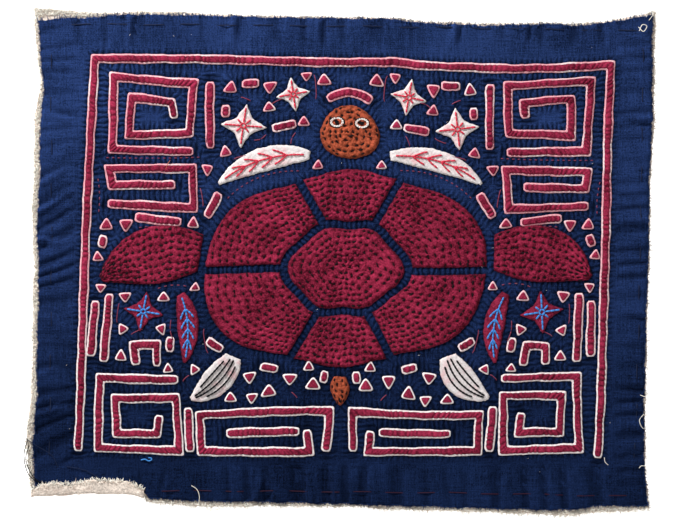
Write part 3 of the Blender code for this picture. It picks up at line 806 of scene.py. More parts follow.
def strip_shape(corners, bend, width, rise, crown_power, pitch, seed, scallop, across=11, hollow=0.0):
    """Sewn strip: a domed profile carried along a path.

    The dome is (1 - |v|^p)^0.5 of the rise, less a share of 1 - v^2 where the
    middle lies hollow under another strip. Stitch dents lower it by a power of
    a rectified sine of their phase, both sides are scalloped, the ends are
    rounded down, and the corners are softened by a short running average along
    the strip.
    Returns points, faces, a painted shade that is low in the dents and down the dome's sides, and the length.
    """
    centre, side, along = strip_rings(corners, STRIP_STEP)
    total = along[-1]
    phase = uneven_phase(along, pitch, seed)
    depth = 0.55 + 0.45 * np.clip(0.55 + np.sin(along / 5.1 + 4 * seed), 0, 1)
    puff = 1 - depth * (1 - np.abs(np.sin(math.pi * phase)) ** 0.85)
    stray = 0.17 * np.sin(along / 3.6 + 5 * seed) + 0.10 * np.sin(along / 1.7 + seed)
    end = np.clip(np.minimum(along, total - along) / (0.30 * width), 0, 1)
    rounding = np.sqrt(1 - (1 - end) ** 2)
    swell = 1 + 0.055 * np.sin(along / 9.3 + 3 * seed) + 0.035 * np.sin(along / 3.7 + seed)
    half = width / 2 * swell * (0.60 + 0.40 * rounding)
    height = rise * (0.2 + 0.8 * rounding) * (0.30 + 0.70 * puff)
    v = np.sin(np.linspace(-1, 1, across) * math.pi / 2)
    edge_phase = phase[:, None] + 0.25 * np.sign(v)[None, :]
    reach = half[:, None] * v[None, :] + scallop * np.cos(math.tau * edge_phase) * v[None, :] ** 3
    xy = centre[:, None, :] + side[:, None, :] * (reach + stray[:, None])[..., None]
    for _ in range(4):
        xy[1:-1] = 0.25 * (xy[:-2] + xy[2:]) + 0.5 * xy[1:-1]
    dome = (1 - np.abs(v) ** crown_power) ** 0.5
    lumps = 1 + 0.16 * noise_wave(xy[..., 0], xy[..., 1], 4.3, seed)
    z = PIECE_BASE + height[:, None] * (dome * (1 - hollow * (1 - v ** 2)))[None, :] * lumps
    top = np.concatenate([bend(xy), z[..., None]], -1)
    foot = top[:, [-1, 0]].copy()
    foot[..., 2] = PIECE_FOOT
    rings = np.concatenate([top, foot], 1)
    count, around = rings.shape[:2]
    index = np.arange(count * around).reshape(count, around)
    quads = ring_quads(index)[:, [0, 3, 2, 1]]
    caps = [index[0].tolist(), index[-1, ::-1].tolist()]
    # Painted shade: darker in the stitch dents, down the sides of the dome and on the hidden foot.
    shade = puff[:, None] * (0.45 + 0.55 * dome)[None, :]
    shade = np.hstack([shade, np.full((count, 2), 0.3)])
    return rings.reshape(-1, 3), [quads, caps], shade.ravel(), total


def spiral_corners(left, bottom, width, height, legs, start, turn):
    """Corners of a square spiral: a side that has been walked moves in by one pitch.

    Corners count from the lower left one, against the clock, and side k leaves corner k.
    """
    edge = [bottom, left + width, bottom + height, left]
    inward = (1, -1, -1, 1)

    def place(corner):
        """Where a corner lies now."""
        return edge[1 if corner in (1, 2) else 3], edge[2 if corner in (2, 3) else 0]

    points = [place(start)]
    for leg in range(legs):
        corner = (start + turn * leg) % 4
        side = corner if turn > 0 else (corner - 1) % 4
        points.append(place((corner + turn) % 4))
        edge[side] += inward[side] * TURN_PITCH
    return points


def both_sides(name, corners):
    """The left and the right strip of a pair drawn in the right half."""
    corners = np.asarray(corners, float)
    sides = (("right", corners), ("left", corners * (-1, 1)))
    return [(f"{name}_{side}", hand_cut(drawn), swayed) for side, drawn in sides]


def spiral_strips():
    """Name, corners and bend of every spiral and key."""
    strips = []
    for name, *sizes in SPIRALS:
        strips += both_sides(name, np.array(spiral_corners(*sizes)) * (-1, 1))
    return strips


def bar_corners(x, y, length, lean):
    """Both ends of a straight bar that leans by some degrees from upright."""
    angle = math.radians(90 + lean)
    reach = np.array([math.cos(angle), math.sin(angle)]) * length / 2
    return [(x, y) - reach, (x, y) + reach]


def bar_strips():
    """Name, corners and bend of every straight bar and arch."""
    strips = []
    for name, *sizes in BARS:
        strips += both_sides(name, bar_corners(*sizes))
    for name, x, y, width, height in ARCHES:
        left, right = x - width / 2, x + width / 2
        low, high = y - height / 2, y + height / 2
        corners = [(left, low), (left + ARCH_LEAN, high), (right + ARCH_LEAN, high - ARCH_DROP), (right, low)]
        strips += both_sides(name, corners)
    return strips


def short_strips():
    """Name, corners and bend of the short bars and of the arc over the head."""
    strips = []
    for number, sizes in enumerate(SHORT_BARS):
        strips += both_sides(f"short_bar_{number}", bar_corners(*sizes))
    angle = np.radians(np.linspace(90 + CROWN_HALF, 90 - CROWN_HALF, 9))
    arc = np.stack([HEAD[0] + CROWN_RADIUS * np.cos(angle), HEAD[1] + CROWN_RADIUS * np.sin(angle)], -1)
    return strips + [("crown", arc, swayed)]


def frame_strips():
    """The frame band, measured on the cloth itself."""
    return [("frame", np.asarray(FRAME_PATH), unswayed)]


def strip_pair(corners, bend, seed):
    """Edging and band of one strip, each as strip_shape gives it; the band starts inside the edging."""
    pitch = size("dent_pitch")
    edging = strip_shape(
        corners, bend, size("edging_width"), size("edging_rise"), 6.0, pitch, seed, 0.17, across=9, hollow=0.5
    )
    trim = (size("edging_width") - size("band_width")) / 2
    inner = corners.copy()
    inner[0] += (corners[1] - corners[0]) / math.dist(corners[1], corners[0]) * trim
    inner[-1] += (corners[-2] - corners[-1]) / math.dist(corners[-2], corners[-1]) * trim
    return edging, strip_shape(inner, bend, size("band_width"), size("band_rise"), 2.6, pitch, seed, 0.10)


def build_strips(strips):
    """Edging and band of each strip, as two cloths, the band over the edging."""
    for number, (name, corners, bend) in enumerate(strips):
        pair = strip_pair(corners, bend, 1.7 * number + len(name))
        for (part, slot, over), (points, faces, shade, total) in zip(STRIP_CLOTHS, pair):
            piece = make_piece(f"{name}_{part}_cloth", points, faces, cloth_material(slot), {"shade": shade})
            dress(f"{name}_{part}", size(f"{part}_width") * total * over)


def build_short_bars():
    """Short bars, past the solids' limit: all their edgings in one piece and all their bands in one."""
    strips = enumerate(short_strips())
    pairs = [strip_pair(corners, bend, 0.8 + 2.3 * number) for number, (_, corners, bend) in strips]
    for (part, slot, over), shapes in zip(STRIP_CLOTHS, zip(*pairs)):
        first, faces = 0, []
        for points, (quads, caps), _, _ in shapes:
            faces += [quads + first, [[corner + first for corner in cap] for cap in caps]]
            first += len(points)
        points = np.vstack([shape[0] for shape in shapes])
        shade = np.concatenate([shape[2] for shape in shapes])
        piece = make_piece(f"short_bar_{part}s", points, faces, cloth_material(slot), {"shade": shade})
        total = sum(shape[3] for shape in shapes)
        area = size(f"{part}_width") * total * over * MM * MM


def patch_faces(x, y, wrap):
    """Faces of a patch: its upper grid, its side wall, and a flat face below.

    The points are the grid's, then a centre point if the grid is closed round,
    then the rim's again for the foot of the wall.
    """
    rows, columns = x.shape
    index = np.arange(rows * columns).reshape(rows, columns)
    quads = grid_quads(rows, columns, wrap)
    extra = []
    if wrap:
        rim = index[0]
        last = index[-1]
        hub = rows * columns
        extra = np.stack([last, np.roll(last, -1), np.full(columns, hub)], -1)
        first = hub + 1
    else:
        rim = grid_rim(index)
        first = rows * columns
    foot = first + np.arange(len(rim))
    wall = np.stack([np.roll(rim, -1), rim, foot, np.roll(foot, -1)], -1)
    base = foot[::-1][None, :]
    flat_x, flat_y = x.ravel()[rim], y.ravel()[rim]
    groups = [quads, wall, base] + ([extra] if wrap else [])
    if polygon_area(flat_x, flat_y) < 0:
        groups = [group[:, ::-1] for group in groups]
    return groups, rim


def patch_points(x, y, z, rim, wrap):
    """Points that go with patch_faces."""
    top = np.stack([x, y, z], -1).reshape(-1, 3)
    foot = top[rim].copy()
    foot[:, 2] = PIECE_FOOT
    hub = [np.mean(top.reshape(*x.shape, 3)[-1], axis=0, keepdims=True)] if wrap else []
    return np.vstack([top, *hub, foot])


def grid_lengths(x, y, wrap):
    """Length of each row of a grid, and of each column."""
    if wrap:
        x, y = np.hstack([x, x[:, :1]]), np.hstack([y, y[:, :1]])
    rows = np.hypot(np.diff(x, axis=1), np.diff(y, axis=1)).sum(1)
    columns = np.hypot(np.diff(x, axis=0), np.diff(y, axis=0)).sum(0)
    return rows, columns[:-1] if wrap else columns


def edge_distance(x, y, wrap):
    """Distance of each grid point from the patch's rim, measured along the grid."""
    rows, columns = grid_lengths(x, y, wrap)
    v = np.linspace(0, 1, x.shape[0])[:, None]
    u = np.linspace(0, 1, x.shape[1])[None, :]
    if wrap:
        return v * columns[None, :]
    by_row = np.minimum(u, 1 - u) * rows[:, None]
    by_column = np.minimum(v, 1 - v) * columns[None, :]
    return np.minimum(by_row, by_column)


def quilt_wander(u, v, seed):
    """Sideways wander of the stitch rows, in row pitches."""
    slow = 0.22 * np.sin(math.tau * 1.4 * u + seed + 2.2 * v)
    quick = 0.15 * np.sin(math.tau * 4.6 * u + 1.9 * seed + 5 * v)
    return slow + quick + 0.07 * np.sin(math.tau * 11.0 * u + 2.3 * seed + 17 * v)


def quilt_counts(x, y, rows, wrap, seed):
    """Length of each row, its number of stitches and where its first one lies."""
    lengths, _ = grid_lengths(x, y, wrap)
    middle = (np.arange(rows) + 0.5) / rows
    at = np.interp(middle, np.linspace(0, 1, x.shape[0]), lengths)
    counts = np.maximum(3, np.round(at / size("quilt_pitch"))).astype(int)
    offsets = 0.5 * (np.arange(rows) % 2) + 0.3 * np.sin(np.arange(rows) * 12.9 + seed)
    return at, counts, offsets


def quilt_stray(number, row):
    """How far a stitch strays along its row, as a share of its pitch."""
    return 0.20 * np.sin(number * 7.7 + row * 3.1) + 0.12 * np.sin(number * 2.3 + row * 5.7)


def quilt_relief(x, y, rows, wrap, seed):
    """Quilted cloth: a pillow between every two rows, pinched by a bell at each stitch.

    A pillow rises as a power of the sine of the distance to its rows, and a row
    lies deeper at its stitches than between them. Narrow pleats run square to
    the rows from stitch to stitch, and noise rumples the whole. Returns height
    and a painted shade, dark in the dents, the pleats and the furrows between pillows.
    """
    lengths, counts, offsets = quilt_counts(x, y, rows, wrap, seed)
    _, depths = grid_lengths(x, y, wrap)
    v = np.linspace(0, 1, x.shape[0])[:, None]
    ends = 1.0 - 1.0 / x.shape[1] if wrap else 1.0
    u = np.linspace(0, ends, x.shape[1])[None, :]
    row = v * rows + quilt_wander(u, v, seed)
    k = np.clip(np.floor(row), 0, rows - 1).astype(int)
    off = np.clip(row - k - 0.5, -0.5, 0.5)
    phase = u * counts[k] + offsets[k] - 0.5
    number = np.round(phase)
    step = phase - number - quilt_stray(np.mod(number, counts[k]), k)
    along = step * lengths[k] / counts[k]
    across = off * depths[None, :] / rows
    dent = np.exp(-(along / DENT_LENGTH) ** 2 - (across / DENT_WIDTH) ** 2)
    furrow = np.exp(-(across / DENT_WIDTH) ** 2)
    pleat = np.exp(-(along / PLEAT_WIDTH) ** 2) * (1 - furrow)
    near = 0.72 + 0.28 * np.cos(math.tau * step)
    rumple = noise_wave(x, y, 3.6, seed) * 0.6 + noise_wave(x + y, y - x, 6.5, seed + 4) * 0.5
    pillow = 1 - near * (1 - np.sin(math.pi * np.abs(off)) ** 0.7)
    height = PILLOW_HEIGHT * pillow * (1 + 0.35 * rumple)
    height = height - DENT_DEPTH * dent - PLEAT_DEPTH * pleat + RUMPLE_HEIGHT * rumple
    # Painted shade: darker in the dents, the pleats and the furrows, lighter on the pillows and rumples.
    shade = np.clip(0.24 + 0.80 * pillow - 0.50 * dent - 0.36 * pleat + 0.30 * rumple, 0, 1)
    return height, shade


def read_grid(grid, v, u, wrap):
    """Value of a grid between its points, at shares v of its rows and u of its columns."""
    rows, columns = grid.shape
    at_row = np.clip(v, 0, 1) * (rows - 1)
    low = np.minimum(at_row.astype(int), rows - 2)
    part = at_row - low
    at_column = u * columns if wrap else np.clip(u, 0, 1) * (columns - 1)
    left = np.floor(at_column).astype(int)
    if not wrap:
        left = np.minimum(left, columns - 2)
    rest = at_column - left
    left, right = left % columns, (left + 1) % columns
    lower = grid[low, left] * (1 - rest) + grid[low, right] * rest
    upper = grid[low + 1, left] * (1 - rest) + grid[low + 1, right] * rest
    return lower * (1 - part) + upper * part


def quilt_stitches(x, y, z, rows, wrap, seed):
    """Paths of the running stitches of a quilted patch, four points each."""
    lengths, counts, offsets = quilt_counts(x, y, rows, wrap, seed)
    row = np.repeat(np.arange(rows), counts)
    number = np.concatenate([np.arange(count) for count in counts])
    u = (number + 0.5 - offsets[row] + quilt_stray(number, row)) / counts[row]
    u = u % 1.0 if wrap else u
    length = lengths[row]
    margin = 1.0 / np.maximum(length, 1)
    kept = np.ones(len(u), bool) if wrap else (u > margin) & (u < 1 - margin)
    u, row, length = u[kept], row[kept], length[kept]
    v = (row + 0.5) / rows
    v = v - quilt_wander(u, v, seed) / rows
    inside = (v > 0.35 / rows) & (v < 1 - (0.12 if wrap else 0.35) / rows)
    u, v, length = u[inside], v[inside], length[inside]
    half = size("stitch_length") / 2 / length * (1 + 0.25 * np.sin(u * 91 + v * 57))
    steps = np.array((-1.0, -0.55, 0.55, 1.0))
    us = u[:, None] + half[:, None] * steps
    vs = np.broadcast_to(v[:, None], us.shape)
    if not wrap:
        us = np.clip(us, 0, 1)
    spots = [read_grid(grid, vs, us, wrap) for grid in (x, y, z)]
    spots[2] = spots[2] + np.array((-0.45, 0.10, 0.10, -0.45))
    return np.stack(spots, -1)


def thread_batch(paths, radius, sides):
    """Many threads as one mesh: a polygon of the given radius carried along each path.

    paths is (threads, points, 3); radius is one number, or one for each point of
    a path. The polygon stands square to the path, with one axis level.
    """
    paths = np.asarray(paths, float)
    count, length = paths.shape[:2]
    tangent = np.gradient(paths, axis=1)
    tangent /= np.maximum(np.linalg.norm(tangent, axis=-1, keepdims=True), 1e-9)
    level = np.stack([-tangent[..., 1], tangent[..., 0], np.zeros(tangent.shape[:2])], -1)
    level /= np.maximum(np.linalg.norm(level, axis=-1, keepdims=True), 1e-9)
    rise = np.cross(tangent, level)
    angle = full_turn(sides)
    radius = np.broadcast_to(np.asarray(radius, float), (count, length))[..., None, None]
    ring = level[:, :, None] * np.cos(angle)[:, None] + rise[:, :, None] * np.sin(angle)[:, None]
    points = paths[:, :, None] + radius * ring
    index = np.arange(count * length * sides).reshape(count, length, sides)
    faces = [ring_quads(index), index[:, 0, ::-1].copy(), index[:, -1].copy()]
    return points.reshape(-1, 3), faces


def make_threads(name, thread, paths, radius, sides=5):
    """Threads of one kind joined in one piece."""
    points, faces = thread_batch(paths, radius, sides)
    make_piece(name, points, faces, thread_material(thread))


def smooth_path(points, count):
    """Curve through given points: a Catmull-Rom spline read at even shares."""
    points = np.asarray(points, float)
    padded = np.vstack([2 * points[0] - points[1], points, 2 * points[-1] - points[-2]])
    at = np.linspace(0, len(points) - 1, count)
    i = np.minimum(at.astype(int), len(points) - 2)
    t = (at - i)[:, None]
    a, b, c, d = padded[i], padded[i + 1], padded[i + 2], padded[i + 3]
    square, cube = 2 * a - 5 * b + 4 * c - d, 3 * b - a - 3 * c + d
    return 0.5 * (2 * b + (c - a) * t + square * t ** 2 + cube * t ** 3)


def bowed_line(x0, y0, x1, y1, bow, count=24):
    """Points from one end to the other along a parabola of the given bow."""
    share = np.linspace(0, 1, count)
    run_x, run_y = x1 - x0, y1 - y0
    arch = bow * 4 * share * (1 - share) / math.hypot(run_x, run_y)
    return np.stack([x0 + run_x * share - run_y * arch, y0 + run_y * share + run_x * arch], -1)


def stitches_along(line, stitch, gap, height, lift=0.2):
    """Stitches along a line: four points each, sunk at both ends.

    height is the surface there, a number or a function of x and y.
    """
    step = np.hypot(*np.diff(line, axis=0).T)
    along = np.concatenate([[0.0], np.cumsum(step)])
    count = max(1, int((along[-1] + gap) / (stitch + gap)))
    stretch = along[-1] / (count * (stitch + gap) - gap)
    start = np.arange(count)[:, None] * (stitch + gap) * stretch
    at = start + np.array((0.0, 0.2, 0.8, 1.0)) * stitch * stretch
    x, y = np.interp(at, along, line[:, 0]), np.interp(at, along, line[:, 1])
    surface = height(x, y) if callable(height) else height
    z = surface + np.array((-0.25, lift, lift, -0.25))
    return np.stack(np.broadcast_arrays(x, y, z), -1)


def field_relief(x, y):
    """Soft puckers of the ground cloth between the sewn pieces."""
    return 0.17 * noise_wave(x, y, 8.5, 0.7) + 0.16 * noise_wave(x, y, 19.0, 2.3)


def ground_surface(x, y):
    """Height of the ground cloth's upper face, without the dips along sewn edges."""
    return GROUND_TOP + margin_wave(x, y) + crease_relief(x, y) + field_relief(x, y)


def leaf_outline(root_x, root_y, tip_x, tip_y, width, bow, blunt, share):
    """Spine point, unit normal and half width of a leaf at shares of its length."""
    run_x, run_y = tip_x - root_x, tip_y - root_y
    arch = bow * 4 * share * (1 - share) / math.hypot(run_x, run_y)
    spine_x = root_x + run_x * share - run_y * arch
    spine_y = root_y + run_y * share + run_x * arch
    slope_x, slope_y = np.gradient(spine_x), np.gradient(spine_y)
    slope = np.hypot(slope_x, slope_y)
    half = width / 2 * np.sin(np.pi * (blunt + (0.98 - blunt) * share)) ** 0.8
    return spine_x, spine_y, -slope_y / slope, slope_x / slope, half


def leaf_grid(sizes, cell):
    """Grid of a leaf: rungs square to a bowed spine, half width a power of a sine."""
    length = math.hypot(sizes[2] - sizes[0], sizes[3] - sizes[1])
    share = np.linspace(0, 1, int(length / cell) + 2)
    x, y, normal_x, normal_y, half = leaf_outline(*sizes, share)
    over = np.linspace(-1, 1, int(sizes[4] / cell) + 2)[:, None]
    return x + normal_x * half * over, y + normal_y * half * over


def leaf_patches():
    """Name, cloth, stitch rows and grid of every leaf, flipper and the tail."""
    patches = []
    for name, cloth, *sizes, rows in LEAVES + (TAIL,):
        x, y = leaf_grid(sizes, PATCH_CELL)
        if name == TAIL[0]:
            patches.append((name, cloth, rows, sway(x, y)))
            continue
        patches.append((f"{name}_right", cloth, rows, sway(x, y)))
        patches.append((f"{name}_left", cloth, rows, sway(-x, y)))
    return patches


def oval(angle, half, lobe, phase=0.0):
    """Radius of an ellipse with a shallow lobe for each plate of the shell."""
    plain = 1 / np.hypot(np.cos(angle) / half[0], np.sin(angle) / half[1])
    return plain * (1 + lobe * np.cos(PLATE_COUNT * (angle - phase)))


def plate_patches():
    """Name, cloth, stitch rows and grid of each plate of the shell."""
    span = math.tau / PLATE_COUNT
    share = np.linspace(0, 1, PLATE_GRID[0])[None, :]
    depth = np.linspace(0, 1, PLATE_GRID[1])[:, None]
    patches = []
    for plate in range(PLATE_COUNT):
        angle = span * (plate + share)
        near = oval(angle, CORE_HALF, CORE_LOBE) + PLATE_GAP
        far = oval(angle, SHELL_HALF, SHELL_LOBE, phase=math.pi / 2)
        radius = near + (far - near) * depth
        inset = PLATE_GAP / 2 / radius
        turn = span * plate + inset + (span - 2 * inset) * share
        grid = sway(SHELL_X + radius * np.cos(turn), SHELL_Y + radius * np.sin(turn))
        rows = round(float(np.mean(far - near)) / size("quilt_row"))
        patches.append((f"shell_plate_{plate + 1}", "crimson", rows, grid))
    return patches


def round_grid(centre, rim_x, rim_y, rings):
    """Grid of a round patch: its rim drawn in towards its centre, ring by ring."""
    share = np.linspace(1, 0.02, rings)[:, None]
    x = centre[0] + (rim_x - centre[0])[None, :] * share
    y = centre[1] + (rim_y - centre[1])[None, :] * share
    return x, y


def round_patches():
    """Name, cloth, stitch rows and grid of the shell's middle plate and the head."""
    angle = full_turn(MIDDLE_GRID[0])
    radius = oval(angle, CORE_HALF, CORE_LOBE)
    rim = sway(SHELL_X + radius * np.cos(angle), SHELL_Y + radius * np.sin(angle))
    middle = round_grid(sway(SHELL_X, SHELL_Y), *rim, MIDDLE_GRID[1])
    x, y, half_x, half_y = HEAD
    angle = full_turn(HEAD_GRID[0])
    rim_x = x + half_x * np.cos(angle) * (1 - HEAD_TAPER * np.sin(angle))
    rim = sway(rim_x, y + half_y * np.sin(angle))
    head = round_grid(sway(x, y), *rim, HEAD_GRID[1])
    return [("shell_middle", "crimson", MIDDLE_ROWS, middle), ("head", "orange", HEAD_ROWS, head)]


def star_rim(x, y, radius, turn):
    """Rim of a four-pointed star: straight sides from each point to a pinched waist."""
    corner = np.arange(9)
    reach = radius * np.where(corner % 2 == 0, 1.0, STAR_WAIST)
    bearing = math.radians(90 + turn) + corner * math.tau / 8
    at = np.arange(STAR_POINTS) / STAR_POINTS * 8
    rim_x = np.interp(at, corner, x + reach * np.cos(bearing))
    rim_y = np.interp(at, corner, y + reach * np.sin(bearing))
    return softened(rim_x), softened(rim_y)


def star_patches():
    """Name, cloth, stitch rows and grid of every star."""
    patches = []
    for name, cloth, _, x, y, radius, turn in STARS:
        rim_x, rim_y = star_rim(x, y, radius, turn)
        for side, half in (("right", 1), ("left", -1)):
            grid = round_grid(sway(half * x, y), *sway(half * rim_x, rim_y), STAR_RINGS)
            patches.append((f"{name}_{side}", cloth, 0, grid))
    return patches


def plain_relief(x, y):
    """Relief of an unquilted patch: small lumps, with no stitch rows, and a painted shade that follows the
    lumps.
    """
    lumps = noise_wave(x, y, 4.6, 0.7)
    fine = noise_wave(x, y, 2.6, 1.9)
    return 0.26 * lumps + 0.15 * fine, np.clip(0.72 + 0.20 * lumps + 0.16 * fine, 0, 1)


def build_patch(name, cloth, rows, grid, wrap, seed):
    """Patch with a turned-under rim, quilted where it has rows. Returns its stitches.

    Height over the ground is the patch's rise times a quarter circle of the
    distance to the rim, plus the relief, which fades in from the rim. Small
    hemming stitches pinch the rim every two and a half millimetres.
    """
    x, y = grid
    pucker = 0.34 * noise_wave(x, y, 5.6, seed), 0.34 * noise_wave(y, x, 5.2, seed + 2)
    x, y = x + pucker[0], y + pucker[1]
    near = edge_distance(x, y, wrap)
    near = np.clip(near - 0.28 * (0.5 + noise_wave(x, y, 2.7, seed + 3)), 0, None)
    turned = np.sqrt(1 - (1 - np.clip(near / 1.1, 0, 1)) ** 2)
    relief, shade = quilt_relief(x, y, rows, wrap, seed) if rows else plain_relief(x, y)
    whip = np.sin(math.tau * (x + 0.7 * y) / 2.5) * np.sin(math.tau * (y - 0.7 * x) / 2.5)
    pinch = np.exp(-(near / 1.4) ** 2) * (0.5 + 0.5 * whip)
    z = PIECE_BASE + turned * size("patch_rise") + relief * ramp(near / 1.8) - 0.30 * pinch * turned
    # Painted shade: darker near the rim and in the pinches; the foot below gets a low painted shade.
    shade = shade * (0.45 + 0.55 * ramp(near / 1.2)) * (1 - 0.35 * pinch)
    faces, rim = patch_faces(x, y, wrap)
    points = patch_points(x, y, z, rim, wrap)
    values = np.full(len(points), 0.4)
    values[:shade.size] = shade.ravel()
    if wrap:
        values[shade.size] = shade[-1].mean()
    piece = make_piece(f"{name}_cloth", points, faces, cloth_material(cloth), {"shade": values})
    outline = abs(polygon_area(x.ravel()[rim], y.ravel()[rim]))
    wide, tall = np.ptp(x) * PATCH_SEAM, np.ptp(y) * PATCH_SEAM
    dress(name, max(outline * PATCH_TRUE_AREA, LEAST_SHARE * wide * tall))
    if not rows:
        return None
    return quilt_stitches(x, y, z, rows, wrap, seed)


def build_patches(patches, wrap, thread_name):
    """Patches of one family, with their quilting joined into one piece of thread."""
    found = []
    for number, (name, cloth, rows, grid) in enumerate(patches):
        stitches = build_patch(name, cloth, rows, grid, wrap, 0.9 + 1.37 * number + len(name))
        if stitches is not None:
            found.append(stitches)
    if found:
        make_threads(thread_name, "black", np.concatenate(found), size("thread_width") / 2 * QUILTING_RADII)


def triangle_table():
    """Triangles of both halves: x, y, radius, turn."""
    table = np.array(TRIANGLES)
    left = table * (-1, 1, 1, 1)
    left[:, 3] = 180 - table[:, 3]
    return np.vstack([table, left])


def triangle_rims(inset):
    """Rims of all the triangles, drawn in by an inset: corners rounded by a short average."""
    x, y, radius, turn = triangle_table().T
    corner = np.arange(4)
    bearing = np.radians(turn)[:, None] + corner * math.tau / 3
    skew = 1 + 0.10 * np.sin(7 * x[:, None] + 2.1 * corner + y[:, None])
    skew[:, 3] = skew[:, 0]
    reach = (1.16 * radius - 2 * inset)[:, None] * skew
    corners_x = x[:, None] + reach * np.cos(bearing)
    corners_y = y[:, None] + reach * np.sin(bearing) * 0.95
    at = np.arange(TRIANGLE_POINTS) / TRIANGLE_POINTS * 3
    low = at.astype(int)
    part = at - low
    rim_x = corners_x[:, low] * (1 - part) + corners_x[:, low + 1] * part
    rim_y = corners_y[:, low] * (1 - part) + corners_y[:, low + 1] * part
    for _ in range(5):
        rim_x, rim_y = softened(rim_x), softened(rim_y)
    return sway(rim_x, rim_y)


def build_triangles():
    """Edgings and tops of the small triangles, each family joined in one piece.

    Rings of each rim are drawn in towards its middle, and rise as a quarter circle.
    """
    share, lift, ring_painted_shade = np.array(TRIANGLE_RINGS).T
    for name, slot, inset in (("triangle_edgings", "edging", 0.0), ("triangle_tops", "maroon", TOP_INSET)):
        rise = size("edging_rise" if slot == "edging" else "band_rise")
        rim_x, rim_y = triangle_rims(inset)
        count, around = rim_x.shape
        middle_x, middle_y = rim_x.mean(1), rim_y.mean(1)
        x = middle_x[:, None, None] + (rim_x - middle_x[:, None])[:, None, :] * share[:, None]
        y = middle_y[:, None, None] + (rim_y - middle_y[:, None])[:, None, :] * share[:, None]
        z = PIECE_BASE + rise * lift[:, None] * (1 + 0.18 * noise_wave(x, y, 3.4, 1.1))
        hubs = np.stack([middle_x, middle_y, np.full(count, PIECE_BASE + rise)], -1)
        index = np.arange(z.size).reshape(z.shape)
        hub = np.broadcast_to(z.size + np.arange(count)[:, None], (count, around))
        fans = np.stack([index[:, -1], np.roll(index[:, -1], -1, axis=1), hub], -1).reshape(-1, 3)
        points = np.vstack([np.stack([x, y, z], -1).reshape(-1, 3), hubs])
        # Painted shade, darker towards each triangle's foot.
        shade = np.concatenate([np.tile(np.repeat(ring_painted_shade, around), count), np.ones(count)])
        faces = [ring_quads(index), fans, index[:, 0, ::-1].copy()]
        piece = make_piece(name, points, faces, cloth_material(slot), {"shade": shade})


def sewn_edges():
    """Samples of every sewn edge: x, y, tangent x, tangent y, reach.

    A strip is sampled along its middle and reaches half its width; a patch is
    sampled along its rim.
    """
    samples = []
    for _, corners, bend in frame_strips() + spiral_strips() + bar_strips() + short_strips():
        centre, _, _ = strip_rings(corners, 1.1)
        spots = bend(centre)
        reach = np.full(len(spots), size("edging_width") / 2)
        samples.append(np.column_stack([spots, np.gradient(spots, axis=0), reach]))
    rims = [(grid[0][0], grid[1][0]) for _, _, _, grid in round_patches() + star_patches()]
    for _, _, _, (x, y) in plate_patches() + leaf_patches():
        rims.append((grid_rim(x), grid_rim(y)))
    rims += list(zip(*triangle_rims(0.0)))
    for x, y in rims:
        spots = np.stack([x, y], -1)
        tangent = np.roll(spots, -1, axis=0) - np.roll(spots, 1, axis=0)
        samples.append(np.column_stack([spots, tangent, np.zeros(len(spots))]))
    samples = np.vstack(samples)
    samples[:, 2:4] /= np.maximum(np.linalg.norm(samples[:, 2:4], axis=1), 1e-6)[:, None]
    return samples.astype(np.float32)


def nearest_edge(x, y, samples):
    """Distance to the nearest sewn edge and the edge's direction there, point by point."""
    spots = np.stack([x, y], -1).reshape(-1, 2).astype(np.float32)
    distance = np.full(len(spots), 99.0, np.float32)
    tangent = np.zeros((len(spots), 2), np.float32)
    for first in range(0, len(spots), 1500):
        part = slice(first, first + 1500)
        away = np.hypot(spots[part, :1] - samples[:, 0], spots[part, 1:] - samples[:, 1]) - samples[:, 4]
        best = np.argmin(away, axis=1)
        distance[part] = away[np.arange(len(best)), best]
        tangent[part] = samples[best, 2:4]
    return distance.reshape(x.shape), tangent.reshape(*x.shape, 2)


def outside_frame(x, y):
    """Where the ground lies outside the frame band, or below the field."""
    path = np.array(FRAME_PATH)
    left, top, right = path[:6], path[5:13], path[12:][::-1]
    beside = (x < np.interp(y, left[:, 1], left[:, 0])) | (x > np.interp(y, right[:, 1], right[:, 0]))
    return beside | (y > np.interp(x, top[:, 0], top[:, 1])) | (y < FIELD_BOTTOM + 5)


def rib_weights(distance, tangent, outside):
    """How strongly the ground is ribbed across each of four directions, near sewn edges.

    Ribs stand square to the edge, so their phase runs along it. A weight is the
    square of the cosine of twice the angle off, faded with the distance, and
    sooner outside the frame.
    """
    angle = np.arctan2(tangent[..., 1], tangent[..., 0])
    match = np.clip(np.cos(2 * (angle[..., None] - RIB_TURNS)), 0, 1) ** 2
    match /= np.maximum(match.sum(-1, keepdims=True), 1e-6)
    fade = np.exp(-(np.clip(distance, 0, None) / np.where(outside, RIB_REACH_OUTSIDE, RIB_REACH)) ** 3)
    return match * (fade * np.where(outside, 0.85, 1.0))[..., None]


def rib_drift(x, y):
    """How far the ribs' phase wanders, in radians."""
    return 1.9 * noise_wave(x, y, 14.0, 0.4) + 1.3 * noise_wave(x, y, 7.3, 2.9)


def rib_relief(x, y, weights, drift):
    """Ribs: for each direction the root of a raised sine, as high as its weight."""
    at = (x - CENTRE[0])[..., None] * np.cos(RIB_TURNS) + (y - CENTRE[1])[..., None] * np.sin(RIB_TURNS)
    wave = 0.5 - 0.5 * np.cos(math.tau * at / size("dent_pitch") + drift[..., None])
    return RIB_HEIGHT * np.sum(weights * np.sqrt(wave), axis=-1)


